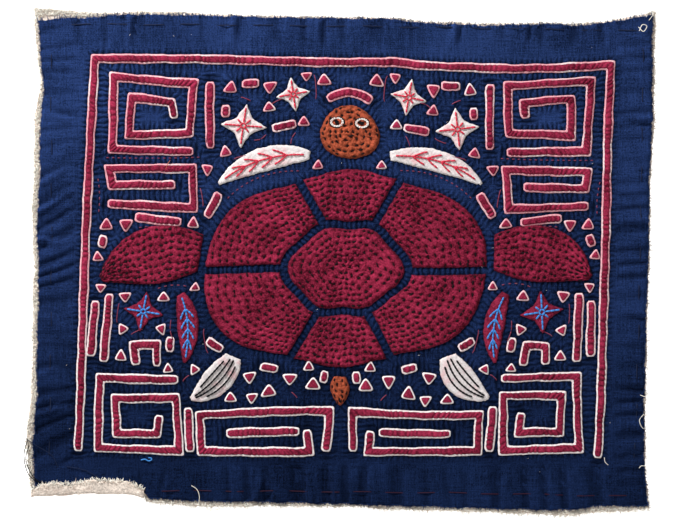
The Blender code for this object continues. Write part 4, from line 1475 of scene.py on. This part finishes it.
def cloth_underside(top, rim, first):
    """Underside of the ground cloth: rings that follow its rim inwards, then one flat face.

    A ring lies under the top by the cloth's thickness; first is the number of
    the first new point. Returns points and faces.
    """
    rings = []
    for inset in (0.0, 0.03, 0.07, 0.12, 0.18):
        ring = top[rim] * (1 - inset)
        lift = margin_wave(ring[:, 0], ring[:, 1]) + crease_relief(ring[:, 0], ring[:, 1])
        ring[:, 2] = GROUND_BASE + 0.2 * (inset == 0) + np.where(inset < 0.15, np.maximum(lift, 0), 0)
        rings.append(ring)
    index = first + np.arange(len(rings) * len(rim)).reshape(len(rings), -1)
    index = np.vstack([rim, index])
    return np.vstack(rings), [ring_quads(index)[:, [1, 0, 3, 2]], index[-1:, ::-1]]


def grid_lines(half, low, high):
    """Grid lines from one edge of the ground to the other: fine between low and high, coarse outside."""
    fine = np.arange(low, high, size("ground_step"))
    before = np.arange(-half, fine[0] - 1, MARGIN_STEP)
    after = np.arange(fine[-1] + MARGIN_STEP, half + 0.5, MARGIN_STEP)
    lines = np.concatenate([before, fine, after])
    lines[-1] = half
    return lines


def build_ground():
    """Navy ground cloth: fine grid over the sewn field, creased margins, raw edges.

    The upper face dips beside sewn edges; a coarser lower face shares its rim.
    """
    xs = grid_lines(HALF_WIDTH, FIELD_LEFT - 8, FIELD_RIGHT + 8)
    ys = grid_lines(HALF_HEIGHT, FIELD_BOTTOM - 6, FIELD_TOP + 8)
    x, y = cloth_grid(*GROUND_KEYS, xs, ys)
    distance, tangent = nearest_edge(x, y, sewn_edges())
    away = np.clip(distance, 0, None)
    z = ground_surface(x, y) - EDGE_DIP * np.exp(-(away / EDGE_REACH) ** 2)
    inside = distance < -0.4
    z = np.where(inside, GROUND_TOP - HIDDEN_DROP, z)
    z[[0, -1]] -= RIM_DROP
    z[1:-1, [0, -1]] -= RIM_DROP
    ribs = rib_weights(distance, tangent, outside_frame(x, y))
    drift = rib_drift(x, y)
    z = z + np.where(inside, 0, rib_relief(x, y, ribs, drift) - 0.5 * RIB_HEIGHT * ribs.sum(-1))
    top = np.stack([x, y, z], -1).reshape(-1, 3)
    index = np.arange(x.size).reshape(x.shape)
    under, below = cloth_underside(top, grid_rim(index), x.size)
    # Painted shade: darker beside sewn edges and in the troughs of the creases.
    trough = np.clip(-crease_relief(x, y) / 0.7, 0, 1)
    shade = (1 - 0.75 * np.exp(-away ** 2)) * (1 - 0.55 * trough)
    layers = {
        "ribs": np.vstack([ribs.reshape(-1, 4), np.zeros((len(under), 4))]),
        "shade": np.concatenate([shade.ravel(), np.ones(len(under))]),
        "drift": np.concatenate([drift.ravel(), np.zeros(len(under))]),
    }
    faces = [grid_quads(*x.shape), *below]
    piece = make_piece("ground_cloth", np.vstack([top, under]), faces, ground_material(), layers)
    dress("ground")


def build_backing():
    """Undyed backing cloth, its lower left edge turned up over the front.

    Two layers of one grid, the hem's rows carried round a half circle.
    """
    xs = np.arange(-HALF_WIDTH, HALF_WIDTH + 1, BACKING_STEP)
    xs = np.array(sorted({*xs[np.abs(xs - HEM_END_X) > 1.6], HEM_END_X, HEM_END_X + 1.5}))
    xs[-1] = HALF_WIDTH
    ys = np.linspace(-HALF_HEIGHT, HALF_HEIGHT, BACKING_ROWS)
    x, y = cloth_grid(*BACKING_KEYS, xs, ys)
    lumps = 0.30 * noise_wave(x, y, 9.0, 1.9) + 0.25 * noise_wave(x, y, 5.5, 0.6)
    lumps = lumps * ramp(margin_wave(x, y) / 0.3)
    z = margin_wave(x, y)
    under = np.stack([x, y, z], -1).reshape(-1, 3)
    over = np.stack([x, y, z + BACKING_TOP - np.abs(lumps)], -1).reshape(-1, 3)
    quads = grid_quads(*x.shape)
    turned = int(np.sum(xs <= HEM_END_X + 0.01))
    fold_x, fold_y = x[0, :turned], y[0, :turned]
    inner = HEM_RADIUS - BACKING_TOP
    below, above = [], []
    for angle in np.radians(np.arange(20, 181, 20)):
        back, rise = math.sin(angle), 1 - math.cos(angle)
        below.append((fold_x, fold_y - HEM_RADIUS * back, HEM_RADIUS * rise))
        above.append((fold_x, fold_y - inner * back, BACKING_TOP + inner * rise))
    flap = column(HEM_EDGE, 1, fold_x) + 1.6 * ragged(fold_x * 1.3, 2.0) + 0.5 * np.sin(fold_x / 0.9)
    top = 2 * HEM_RADIUS
    for share in (0.2, 0.4, 0.6, 0.8, 1.0):
        far = fold_y + flap * share
        roll = 0.45 * share * noise_wave(fold_x, far, 7.0, 3.1) - 0.25 * share ** 3
        below.append((fold_x, far, top + roll))
        above.append((fold_x, far, top - BACKING_TOP + 0.3))
    hem_under, hem_over = (
        np.vstack([np.column_stack(np.broadcast_arrays(*row)) for row in rows]) for rows in (below, above)
    )
    start = len(under)
    rows = np.vstack([np.arange(turned)[None], start + np.arange(len(hem_under)).reshape(-1, turned)])
    corners = (rows[1:, :-1], rows[1:, 1:], rows[:-1, 1:], rows[:-1, :-1])
    quads = np.vstack([quads, np.stack(corners, -1).reshape(-1, 4)])
    under, over = np.vstack([under, hem_under]), np.vstack([over, hem_over])
    count = len(under)
    edges = np.concatenate([quads[:, [k, (k + 1) % 4]] for k in range(4)])
    forward = edges[:, 0] * count + edges[:, 1]
    back = edges[:, 1] * count + edges[:, 0]
    open_edges = edges[~np.isin(forward, back)]
    wall = np.column_stack([open_edges, open_edges[:, ::-1] + count])
    faces = [quads[:, ::-1], quads + count, wall]
    layers = {"shade": np.ones(2 * count)}
    piece = make_piece("backing_cloth", np.vstack([under, over]), faces, cloth_material("backing"), layers)
    dress("backing")


def outline_points(side_keys, end_keys, spacing):
    """Points round a cloth's edge with their outward directions, without the part that the hem hides."""
    xs = np.arange(-HALF_WIDTH, HALF_WIDTH, spacing)
    ys = np.arange(-HALF_HEIGHT, HALF_HEIGHT, spacing)
    x, y = cloth_grid(side_keys, end_keys, xs, ys)
    parts = [
        (x[0], y[0], 0.0, -1.0),
        (x[-1], y[-1], 0.0, 1.0),
        (x[:, 0], y[:, 0], -1.0, 0.0),
        (x[:, -1], y[:, -1], 1.0, 0.0),
    ]
    roots = np.vstack([np.column_stack(np.broadcast_arrays(*part)) for part in parts])
    return roots[~((roots[:, 0] < HEM_END_X) & (roots[:, 3] < 0))]


def fray(roots, height, lengths, curl, rng):
    """Frayed thread ends: short curved paths that leave the edge and sink as they go."""
    count = len(roots)
    share = np.linspace(0, 1, 3)
    length = rng.uniform(*lengths, count) * rng.uniform(0.4, 1.0, count)
    sideways = rng.normal(0, curl, count)
    bend = rng.normal(0, curl, count)
    out = roots[:, 2:4]
    across = out[:, ::-1] * (-1, 1)
    reach = length[:, None] * share + 0.8 * (share - 1)
    drift = sideways[:, None] * share + bend[:, None] * share ** 2
    xy = roots[:, None, :2] + out[:, None] * reach[..., None] + across[:, None] * drift[..., None]
    surface = margin_wave(roots[:, 0], roots[:, 1]) + rng.uniform(*height, count)
    z = surface[:, None] - 0.25 * share * surface[:, None] + rng.normal(0, 0.25, count)[:, None] * share
    return np.concatenate([xy, np.clip(z, 0.1, None)[..., None]], -1)


def over_ground(x, y):
    """Where a point lies over the ground cloth."""
    beside = (x > column(SIDE_EDGES, 1, y)) & (x < column(SIDE_EDGES, 3, y))
    return beside & (y > column(END_EDGES, 2, x)) & (y < column(END_EDGES, 3, x))


def clear_of_ground(paths):
    """Those paths neither of whose ends lies over the ground cloth."""
    return paths[~(over_ground(*paths[:, 0, :2].T) | over_ground(*paths[:, -1, :2].T))]


def moved_in(roots, depth, rng):
    """The same edge points, each moved inwards by up to a depth and turned at random."""
    turn = rng.normal(0, 1.3, len(roots))
    out_x = roots[:, 2] * np.cos(turn) - roots[:, 3] * np.sin(turn)
    out_y = roots[:, 2] * np.sin(turn) + roots[:, 3] * np.cos(turn)
    spots = roots[:, :2] - roots[:, 2:4] * rng.uniform(0, depth, len(roots))[:, None]
    return np.column_stack([spots, out_x, out_y])


def build_frays():
    """Frayed ends round both cloths and fluff on the backing, drawn from a fixed seed."""
    rng = np.random.default_rng(FRAY_SEED)
    roots = outline_points(*BACKING_KEYS, BACKING_FRAY_STEP)
    edge = fray(roots, (0.3, 1.0), (0.9, 3.6), 0.9, rng)
    fluff = fray(moved_in(np.repeat(roots, 4, axis=0), 4.0, rng), (1.1, 1.6), (1.0, 2.8), 1.0, rng)
    fluff = clear_of_ground(fluff)
    fold_x = np.arange(-203.0, HEM_END_X, 0.30)
    raw_y = column(END_EDGES, 1, fold_x) + column(HEM_EDGE, 1, fold_x)
    raw_y = raw_y + rng.normal(0, 0.5, len(fold_x))
    hem = np.column_stack([fold_x, raw_y, np.zeros_like(fold_x), np.ones_like(fold_x)])
    hem_ends = fray(hem, (3.0, 3.6), (0.6, 2.2), 0.7, rng)
    hem_fluff = fray(moved_in(hem, 1.6, rng), (3.7, 4.0), (0.8, 2.0), 0.8, rng)
    cream = np.concatenate([edge, hem_ends, hem_fluff[::4], *(fluff[first::6] for first in range(5))])
    tan = np.concatenate([hem_fluff[1::4], fluff[5::6]])
    roots = outline_points(*GROUND_KEYS, GROUND_FRAY_STEP)
    top = roots[:, 3] > 0
    short_ends = fray(roots[~top], (1.9, 2.3), (0.7, 1.8), 0.5, rng)
    long_ends = fray(roots[top][::2], (2.2, 2.6), (2.4, 4.4), 0.9, rng)
    navy = np.concatenate([short_ends, long_ends])
    for (name, thread, radius), paths in zip(FRAYS, (cream, tan, navy)):
        make_threads(name, thread, paths, radius * FRAY_RADII, 3)


def eye_ring(x, y, radius):
    """A ring round an eye."""
    angle = np.linspace(0, math.tau, CURVE_POINTS)
    x, y = sway(x, y)
    return np.stack([x + radius * np.cos(angle), y + radius * EYE_SQUASH * np.sin(angle)], -1)


def patch_top(x, y):
    """Height of an unquilted patch's surface, for the embroidery on it."""
    return PIECE_BASE + size("patch_rise") + plain_relief(x, y)[0]


def star_embroidery(x, y, radius, turn):
    """Ring, four long rays to the points and four short rays between them."""
    lines = []
    angle = np.linspace(0, math.tau, 20)
    lines.append(np.stack([x + 1.7 * np.cos(angle), y + 1.7 * np.sin(angle)], -1))
    for ray in range(8):
        bearing = math.radians(90 + turn + 45 * ray)
        far = radius * (0.80 if ray % 2 == 0 else 0.38)
        reach = np.linspace(2.3, far, 12)
        lines.append(np.stack([x + reach * math.cos(bearing), y + reach * math.sin(bearing)], -1))
    return lines


def leaf_veins(sizes):
    """Middle vein of a leaf and slanting side veins."""
    share = np.linspace(0.06, 0.92, 60)
    x, y, normal_x, normal_y, half = leaf_outline(*sizes, share)
    lines = [np.stack([x, y], -1)]
    for at in (12, 22, 32, 42):
        for side in (-1, 1):
            ahead = min(at + 9, len(share) - 1)
            far_x = x[ahead] + side * normal_x[ahead] * half[ahead] * 0.62
            far_y = y[ahead] + side * normal_y[ahead] * half[ahead] * 0.62
            lines.append(bowed_line(x[at], y[at], far_x, far_y, 0.4 * side, 8))
    return lines


def leaf_contours(sizes):
    """Long lines along a flipper, at even shares of its width."""
    share = np.linspace(0.05, 0.93, 50)
    x, y, normal_x, normal_y, half = leaf_outline(*sizes, share)
    lines = []
    for offset, low, high in ((-0.55, 4, 40), (-0.18, 0, 49), (0.18, 0, 49), (0.55, 4, 40)):
        part = slice(low, high)
        lines.append(np.stack([x + normal_x * half * offset, y + normal_y * half * offset], -1)[part])
    return lines


def mirrored_lines(lines):
    """The lines in both halves of the design, swayed."""
    return [swayed(line * (half, 1)) for line in lines for half in (1, -1)]


def embroidery_lines():
    """Embroidered lines by thread colour, on the cloth."""
    lines = {"red": [], "blue": [], "black": []}
    for _, _, thread, x, y, radius, turn in STARS:
        lines[thread] += mirrored_lines(star_embroidery(x, y, radius, turn))
    leaves = {row[0]: row[2:-1] for row in LEAVES}
    lines["red"] += mirrored_lines(leaf_veins(leaves["leaf_upper"]))
    lines["blue"] += mirrored_lines(leaf_veins(leaves["leaf_side"]))
    lines["black"] += mirrored_lines(leaf_contours(leaves["hind_flipper"]))
    return lines


def build_embroidery():
    """Red, blue and black embroidery and the rings round the eyes, in stitches laid end to end."""
    for thread, lines in embroidery_lines().items():
        paths = [stitches_along(line, 2.4, 0.05, patch_top, 0.34) for line in lines]
        make_threads(f"{thread}_embroidery", thread, np.concatenate(paths), EMBROIDERY_RADII, 6)
    for thread, radii in EYE_RINGS.items():
        rings = [eye_ring(*eye, radius) for eye in EYES for radius in radii]
        paths = [stitches_along(ring, 1.6, 0.02, EYE_TOP, 0.3) for ring in rings]
        make_threads(f"{thread}_eye_rings", thread, np.concatenate(paths), EYE_RADII, 6)


def build_field_stitches():
    """Single stitches and running stitches in red thread on the ground."""
    paths = []
    for *course, stitch, gap in FIELD_STITCHES:
        for line in mirrored_lines([bowed_line(*course)]):
            for path in stitches_along(line, stitch, gap, ground_surface, 0.22):
                paths.append(smooth_path(path, len(FIELD_RADII)))
    make_threads("field_stitches", "dull_red", paths, FIELD_RADII)


def build_basting():
    """Long basting stitches round the margins."""
    for thread in ("dark", "wine"):
        paths = []
        for *ends, stitch, gap, kind in BASTING:
            if kind != thread:
                continue
            line = bowed_line(*ends, 0.8, 80)
            line = line + 0.35 * np.stack([np.sin(line[:, 1] / 9), np.sin(line[:, 0] / 9)], -1)
            stitches = stitches_along(line, stitch, gap, ground_surface, 0.16)
            paths += [smooth_path(path, 10) for path in stitches]
        make_threads(f"{thread}_basting", thread, paths, BASTING_RADIUS)


def build_loose_threads():
    """Loose ends of thread, each a smooth curve, and a small tangle at the lower edge."""
    threads = {}
    for thread, thick, spots in LOOSE_THREADS:
        spots = np.array(spots)
        spots[:, 2] += ground_surface(spots[:, 0], spots[:, 1]) - 0.2
        threads.setdefault(thread, []).append((smooth_path(spots, CURVE_POINTS), thick / 2))
    rng = np.random.default_rng(TANGLE_SEED)
    knots = np.column_stack([rng.normal(THREAD_TANGLE[0], 3.0, 16), rng.normal(THREAD_TANGLE[1], 1.6, 16)])
    tangle = np.column_stack([knots, rng.uniform(0.4, 1.8, 16)])
    for part, radius in zip(np.split(tangle, 2), TANGLE_RADII):
        threads["cream"].append((smooth_path(part, CURVE_POINTS), radius))
    for thread, items in threads.items():
        paths, radii = zip(*items)
        make_threads(f"{thread}_loose_ends", thread, paths, np.array(radii)[:, None])


def build_lint():
    """Specks of lint on the ground: very short pale threads at random places."""
    rng = np.random.default_rng(LINT_SEED)
    shape = (LINT_COUNT, 1)
    x, y = rng.uniform(-185, 188, shape), rng.uniform(-150, 150, shape)
    bearing = rng.uniform(0, math.tau, shape)
    reach = np.linspace(-0.5, 0.5, 4) * rng.uniform(0.5, 1.3, shape)
    x, y = x + reach * np.cos(bearing), y + reach * np.sin(bearing)
    paths = np.stack([x, y, ground_surface(x, y) + 0.12], -1)
    make_threads("lint", "white", paths, LINT_RADIUS, 3)


class NodeDesk:
    """Adds shader nodes to one material and links them by name."""

    def __init__(self, name):
        self.material = bpy.data.materials.new(name)
        self.material.use_nodes = True
        self.tree = self.material.node_tree
        self.shader = self.tree.nodes["Principled BSDF"]
        self.coords = self.tree.nodes.new("ShaderNodeTexCoord").outputs["Object"]

    def add(self, kind, links=None, settings=None, **values):
        """Node of a kind, with its sockets linked or set."""
        node = self.tree.nodes.new("ShaderNode" + kind)
        for key, value in (settings or {}).items():
            setattr(node, key, value)
        for key, value in values.items():
            node.inputs[key.replace("_", " ")].default_value = value
        for key, source in (links or {}).items():
            self.tree.links.new(source, node.inputs[key])
        return node

    def put(self, socket, value):
        """Give a socket a number or a colour, or link it to another one."""
        if isinstance(value, tuple):
            socket.default_value = (*value, 1.0)
        elif isinstance(value, (int, float)):
            socket.default_value = value
        else:
            self.tree.links.new(value, socket)

    def surface(self, **inputs):
        """Set or link inputs of the material's own shader."""
        for key, value in inputs.items():
            self.put(self.shader.inputs[key.replace("_", " ")], value)

    def math(self, operation, first, second):
        """Sum, product or the like of two values, each a socket or a number."""
        node = self.add("Math", settings={"operation": operation})
        self.put(node.inputs[0], first)
        self.put(node.inputs[1], second)
        return node.outputs[0]

    def blend(self, *parts):
        """Sum of values, each times its own weight."""
        products = [self.math("MULTIPLY", value, weight) for value, weight in parts]
        total = products[0]
        for product in products[1:]:
            total = self.math("ADD", total, product)
        return total

    def scale(self, value, **limits):
        """Value scaled from one range to another, 0 to 1 where no limit is given."""
        return self.add("MapRange", {"Value": value}, **limits).outputs[0]

    def layer(self, name):
        """One of the mesh's own values."""
        return self.add("Attribute", settings={"attribute_name": name}).outputs

    def noise(self, scale, detail=2.0, roughness=0.5):
        """Noise over the object's own coordinates; the scale is per metre."""
        node = self.add("TexNoise", {"Vector": self.coords}, Scale=scale, Detail=detail, Roughness=roughness)
        return node.outputs["Fac"]

    def bands(self, pitch, turn, distortion=0.0, phase=None):
        """Bands a pitch apart, in metres, whose phase runs along a direction."""
        place = self.add("Mapping", {"Vector": self.coords}, Rotation=(0, 0, -turn))
        links = {"Vector": place.outputs[0]}
        if phase is not None:
            links["Phase Offset"] = phase
        scale = math.tau / 20 / pitch
        wave = {"bands_direction": "X"}
        return self.add("TexWave", links, wave, Scale=scale, Distortion=distortion, Detail=1.0).outputs["Fac"]

    def streaks(self, x_scale, y_scale):
        """Threads that show a little: noise drawn out along the direction of the smaller scale."""
        place = self.add("Mapping", {"Vector": self.coords}, Scale=(x_scale, y_scale, 1))
        node = self.add("TexNoise", {"Vector": place.outputs[0]}, Scale=1.0, Detail=2.0, Roughness=0.6)
        return node.outputs["Fac"]

    def rise(self, low, high):
        """Share that grows from 0 to 1 between two places up the panel, in metres."""
        place = self.add("SeparateXYZ", {"Vector": self.coords}).outputs["Y"]
        settings = {"interpolation_type": "SMOOTHSTEP"}
        return self.add("MapRange", {"Value": place}, settings, From_Min=low, From_Max=high).outputs[0]

    def mix(self, share, first, second):
        """Mix of two colours by a share."""
        node = self.add("Mix", settings={"data_type": "RGBA"})
        for place, value in ((0, share), (6, first), (7, second)):
            self.put(node.inputs[place], value)
        return node.outputs[2]


def shade_of(base, factor):
    """A colour made lighter or darker."""
    return tuple(min(1.0, channel * factor) for channel in base)


def cloth_material(name):
    """Plain-weave cotton: weave and slubs in the bump, mottled colour, painted shade in the stitch dents."""
    made = bpy.data.materials.get(f"{name}_cotton")
    if made:
        return made
    desk = NodeDesk(f"{name}_cotton")
    dark, light, least_lit, shaded_share = CLOTH_LOOKS[name]
    base = colour(name)
    slub = desk.noise(900.0, 3.0, 0.6)
    mottle = desk.blend((slub, 0.65), (desk.noise(55.0), 0.35))
    pale = shade_of(base, light)
    # Pale fibres and painted sheen: the red cloths' light tone is paler and less saturated.
    if name in FUZZ_AND_SHEEN_CLOTHS:
        pale = tuple(channel + fuzz_and_sheen for channel, fuzz_and_sheen in zip(pale, FUZZ_AND_SHEEN))
    tone = desk.mix(desk.scale(mottle, From_Min=0.36, From_Max=0.64), shade_of(base, dark), pale)
    if name == "edging":
        faded = desk.math("MULTIPLY", desk.scale(desk.noise(38.0), From_Min=0.50, From_Max=0.62), 0.75)
        tone = desk.mix(desk.math("MAXIMUM", desk.rise(0.03, -0.09), faded), tone, colour("white"))
    if name in STAINS:
        scale, detail, full, strength, stain = STAINS[name]
        share = desk.scale(desk.noise(scale, detail), From_Min=0.50, From_Max=full)
        tone = desk.mix(desk.math("MULTIPLY", share, strength), tone, stain)
    # Painted shade: the colour moves towards a darker copy where the mesh's painted shade is low.
    lit = desk.scale(desk.layer("shade")["Fac"], To_Min=least_lit)
    desk.surface(Base_Color=desk.mix(lit, shade_of(base, shaded_share), tone))
    finish(desk, slub, desk.math("MULTIPLY", desk.noise(330.0), 1.3) if name == "backing" else None)
    return desk.material


def finish(desk, slub, extra=None, gloss=0.05):
    """Weave, slubs and any extra height as bump, matt roughness and a soft sheen."""
    pitch = size("thread_pitch") * MM
    weave = desk.math("ADD", desk.bands(pitch, 0.0, 0.6), desk.bands(pitch, math.pi / 2, 0.6))
    height = desk.blend((weave, 0.05), (slub, 0.22))
    if extra is not None:
        height = desk.math("ADD", height, extra)
    bump = desk.add("Bump", {"Height": height}, Strength=1.0, Distance=MM)
    desk.surface(Normal=bump.outputs[0], Roughness=desk.scale(slub, To_Min=0.80, To_Max=0.96))
    desk.surface(Sheen_Weight=gloss / 4, Sheen_Roughness=0.5, Specular_IOR_Level=gloss)


def ground_material():
    """Navy cotton with ribs square to the sewn edges, weighted by the mesh's own values, painted shade in the
    rib valleys, beside sewn edges and in crease troughs, and a painted sheen towards the top.
    """
    desk = NodeDesk("navy_cotton")
    base = colour("navy")
    slub = desk.noise(1400.0, 2.0, 0.6)
    streak = desk.math("ADD", desk.streaks(60.0, 1500.0), desk.streaks(1500.0, 60.0))
    mottle = desk.blend((slub, 0.40), (desk.noise(16.0), 0.20), (streak, 0.20))
    spread = desk.scale(mottle, From_Min=0.40, From_Max=0.60)
    # Painted sheen: the navy is lighter and greyer towards the top of the panel, darker towards the bottom.
    top_painted_sheen = desk.mix(spread, shade_of(base, 0.24), tuple(0.005 + 2.05 * channel for channel in base))
    bottom_plain = desk.mix(spread, shade_of(base, 0.06), tuple(0.001 + 0.98 * channel for channel in base))
    tone = desk.mix(desk.rise(-0.17, 0.12), bottom_plain, top_painted_sheen)
    ribs = desk.layer("ribs")
    weights = [*desk.add("SeparateColor", {"Color": ribs["Color"]}).outputs, ribs["Alpha"]]
    drift = desk.layer("drift")["Fac"]
    height = 0.0
    for weight, turn in zip(weights, RIB_TURNS):
        band = desk.bands(size("dent_pitch") * MM, float(turn), phase=drift)
        height = desk.math("ADD", height, desk.math("MULTIPLY", desk.math("POWER", band, 0.7), weight))
    halves = (desk.math("ADD", *weights[:2]), desk.math("ADD", *weights[2:]))
    strength = desk.math("ADD", *halves)
    valley = desk.math("SUBTRACT", strength, height)
    # Painted shade in the valleys between the ribs.
    tone = desk.mix(desk.math("MULTIPLY", valley, 0.92), tone, shade_of(base, 0.12))
    # Painted shade from the mesh's own values, beside sewn edges and in crease troughs.
    lit = desk.scale(desk.layer("shade")["Fac"], To_Min=0.25)
    desk.surface(Base_Color=desk.mix(lit, shade_of(base, 0.08), tone))
    finish(desk, slub, desk.math("MULTIPLY", height, 0.60), 0.02)
    return desk.material


def thread_material(name):
    """Spun thread: fine mottling, a twisted bump and a slight gloss."""
    made = bpy.data.materials.get(f"{name}_thread")
    if made:
        return made
    desk = NodeDesk(f"{name}_thread")
    base = THREAD_LOOKS.get(name) or colour(name)
    fibre = desk.noise(2600.0, 2.0, 0.6)
    bump = desk.add("Bump", {"Height": fibre}, Strength=0.6, Distance=0.1 * MM)
    sheen, gloss = (0.0, 0.1) if max(base) < DARK_THREAD else (0.15, 0.35)
    desk.surface(Base_Color=desk.mix(fibre, shade_of(base, 0.65), shade_of(base, 1.25)))
    desk.surface(Normal=bump.outputs[0], Roughness=0.6, Sheen_Weight=sheen, Specular_IOR_Level=gloss)
    return desk.material


def photo_spot(px, py):
    """Place on the panel, in metres, of a pixel of the photograph."""
    x = (px - PANEL_MIDDLE_PX[0]) * PIXEL - CENTRE[0]
    y = (PANEL_MIDDLE_PX[1] - py) * PIXEL - CENTRE[1]
    return x * MM, y * MM


def build_stage():
    """Pale floor, camera straight above at the photograph's frame, and soft light."""
    corners = ((-1, -1), (1, -1), (1, 1), (-1, 1))
    mesh = bpy.data.meshes.new("floor")
    mesh.from_pydata([(x * FLOOR_HALF, y * FLOOR_HALF, FLOOR_Z) for x, y in corners], [], [(0, 1, 2, 3)])
    floor = in_scene("floor", mesh)
    desk = NodeDesk("pale_floor")
    desk.surface(Base_Color=(FLOOR_GREY,) * 3, Roughness=0.9)
    desk.surface(Emission_Color=(1.0, 1.0, 1.0), Emission_Strength=FLOOR_GLOW)
    mesh.materials.append(desk.material)

    lens = bpy.data.cameras.new("camera")
    lens.lens = LENS_MM
    lens.sensor_width = SENSOR_MM
    camera = in_scene("camera", lens)
    x, y = photo_spot(PHOTO_WIDTH / 2, PHOTO_HEIGHT / 2)
    camera.location = (x, y, LENS_MM / SENSOR_MM * PHOTO_WIDTH * PIXEL * MM + GROUND_TOP * MM)
    bpy.context.scene.camera = camera

    for name, spot, power, width in LIGHTS:
        light = bpy.data.lights.new(name, "AREA")
        light.energy = power
        light.size = width
        lamp = in_scene(name, light)
        lamp.location = spot
        x, y, z = spot
        lamp.rotation_euler = (math.atan2(math.hypot(x, y), z), 0, math.atan2(x, -y))
    world = bpy.data.worlds.new("soft_room")
    world.use_nodes = True
    sockets = world.node_tree.nodes["Background"].inputs
    sockets["Color"].default_value = (1, 1, 1, 1)
    sockets["Strength"].default_value = ROOM_LIGHT
    bpy.context.scene.world = world
    bpy.context.scene.view_settings.view_transform = "Standard"


class MOLA_OT_stage(bpy.types.Operator):
    """Lay out the floor, the camera and the lights."""

    bl_idname = "mola.stage"
    bl_label = "Stage"

    def execute(self, context):
        build_stage()
        return {"FINISHED"}


class MOLA_OT_backing(bpy.types.Operator):
    """Make the undyed backing cloth with its turned-up hem."""

    bl_idname = "mola.backing"
    bl_label = "Backing cloth"

    def execute(self, context):
        build_backing()
        return {"FINISHED"}


class MOLA_OT_ground(bpy.types.Operator):
    """Make the navy ground cloth."""

    bl_idname = "mola.ground"
    bl_label = "Ground cloth"

    def execute(self, context):
        build_ground()
        return {"FINISHED"}


class MOLA_OT_strips(bpy.types.Operator):
    """Make the frame band, the spirals, the keys, the bars and the arches."""

    bl_idname = "mola.strips"
    bl_label = "Bands and edgings"

    def execute(self, context):
        build_strips(frame_strips() + spiral_strips() + bar_strips())
        build_short_bars()
        return {"FINISHED"}


class MOLA_OT_shell(bpy.types.Operator):
    """Make the quilted plates of the shell."""

    bl_idname = "mola.shell"
    bl_label = "Shell plates"

    def execute(self, context):
        build_patches(plate_patches(), False, "plate_quilting")
        return {"FINISHED"}


class MOLA_OT_rounds(bpy.types.Operator):
    """Make the shell's middle plate and the head."""

    bl_idname = "mola.rounds"
    bl_label = "Middle plate and head"

    def execute(self, context):
        build_patches(round_patches(), True, "round_quilting")
        return {"FINISHED"}


class MOLA_OT_leaves(bpy.types.Operator):
    """Make the flippers, the leaves and the tail."""

    bl_idname = "mola.leaves"
    bl_label = "Flippers and leaves"

    def execute(self, context):
        build_patches(leaf_patches(), False, "leaf_quilting")
        return {"FINISHED"}


class MOLA_OT_stars(bpy.types.Operator):
    """Make the four-pointed stars."""

    bl_idname = "mola.stars"
    bl_label = "Stars"

    def execute(self, context):
        build_patches(star_patches(), True, "star_quilting")
        return {"FINISHED"}


class MOLA_OT_triangles(bpy.types.Operator):
    """Make the small triangles."""

    bl_idname = "mola.triangles"
    bl_label = "Triangles"

    def execute(self, context):
        build_triangles()
        return {"FINISHED"}


class MOLA_OT_embroidery(bpy.types.Operator):
    """Make the embroidery and the stitches on the ground."""

    bl_idname = "mola.embroidery"
    bl_label = "Embroidery"

    def execute(self, context):
        build_embroidery()
        build_field_stitches()
        return {"FINISHED"}


class MOLA_OT_threads(bpy.types.Operator):
    """Make the basting, the loose thread ends, the frayed edges and the lint."""

    bl_idname = "mola.threads"
    bl_label = "Basting and loose threads"

    def execute(self, context):
        build_basting()
        build_loose_threads()
        build_frays()
        build_lint()
        return {"FINISHED"}


OPERATORS = (
    MOLA_OT_stage,
    MOLA_OT_backing,
    MOLA_OT_ground,
    MOLA_OT_strips,
    MOLA_OT_shell,
    MOLA_OT_rounds,
    MOLA_OT_leaves,
    MOLA_OT_stars,
    MOLA_OT_triangles,
    MOLA_OT_embroidery,
    MOLA_OT_threads,
)


class MOLA_PT_panel(bpy.types.Panel):
    """Sidebar panel with the sizes, the colours and a button for each group of pieces."""

    bl_idname = "MOLA_PT_panel"
    bl_label = "Mola panel"
    bl_space_type = "VIEW_3D"
    bl_region_type = "UI"
    bl_category = "Mola"

    def draw(self, context):
        layout = self.layout
        for group in (context.scene.mola_sizes, context.scene.mola_colours):
            for key in group.__annotations__:
                layout.prop(group, key)
        for operator in OPERATORS:
            layout.operator(operator.bl_idname)


CLASSES = (MolaSizes, MolaColours, *OPERATORS, MOLA_PT_panel)


def register():
    """Add the classes and the panel's settings."""
    for item in CLASSES:
        bpy.utils.register_class(item)
    bpy.types.Scene.mola_sizes = PointerProperty(type=MolaSizes)
    bpy.types.Scene.mola_colours = PointerProperty(type=MolaColours)


def unregister():
    """Take the classes and the settings away again."""
    del bpy.types.Scene.mola_colours
    del bpy.types.Scene.mola_sizes
    for item in reversed(CLASSES):
        bpy.utils.unregister_class(item)


def main():
    """Register the add-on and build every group."""
    register()
    for operator in OPERATORS:
        group, name = operator.bl_idname.split(".")
        getattr(getattr(bpy.ops, group), name)()


if __name__ == "__main__":
    main()
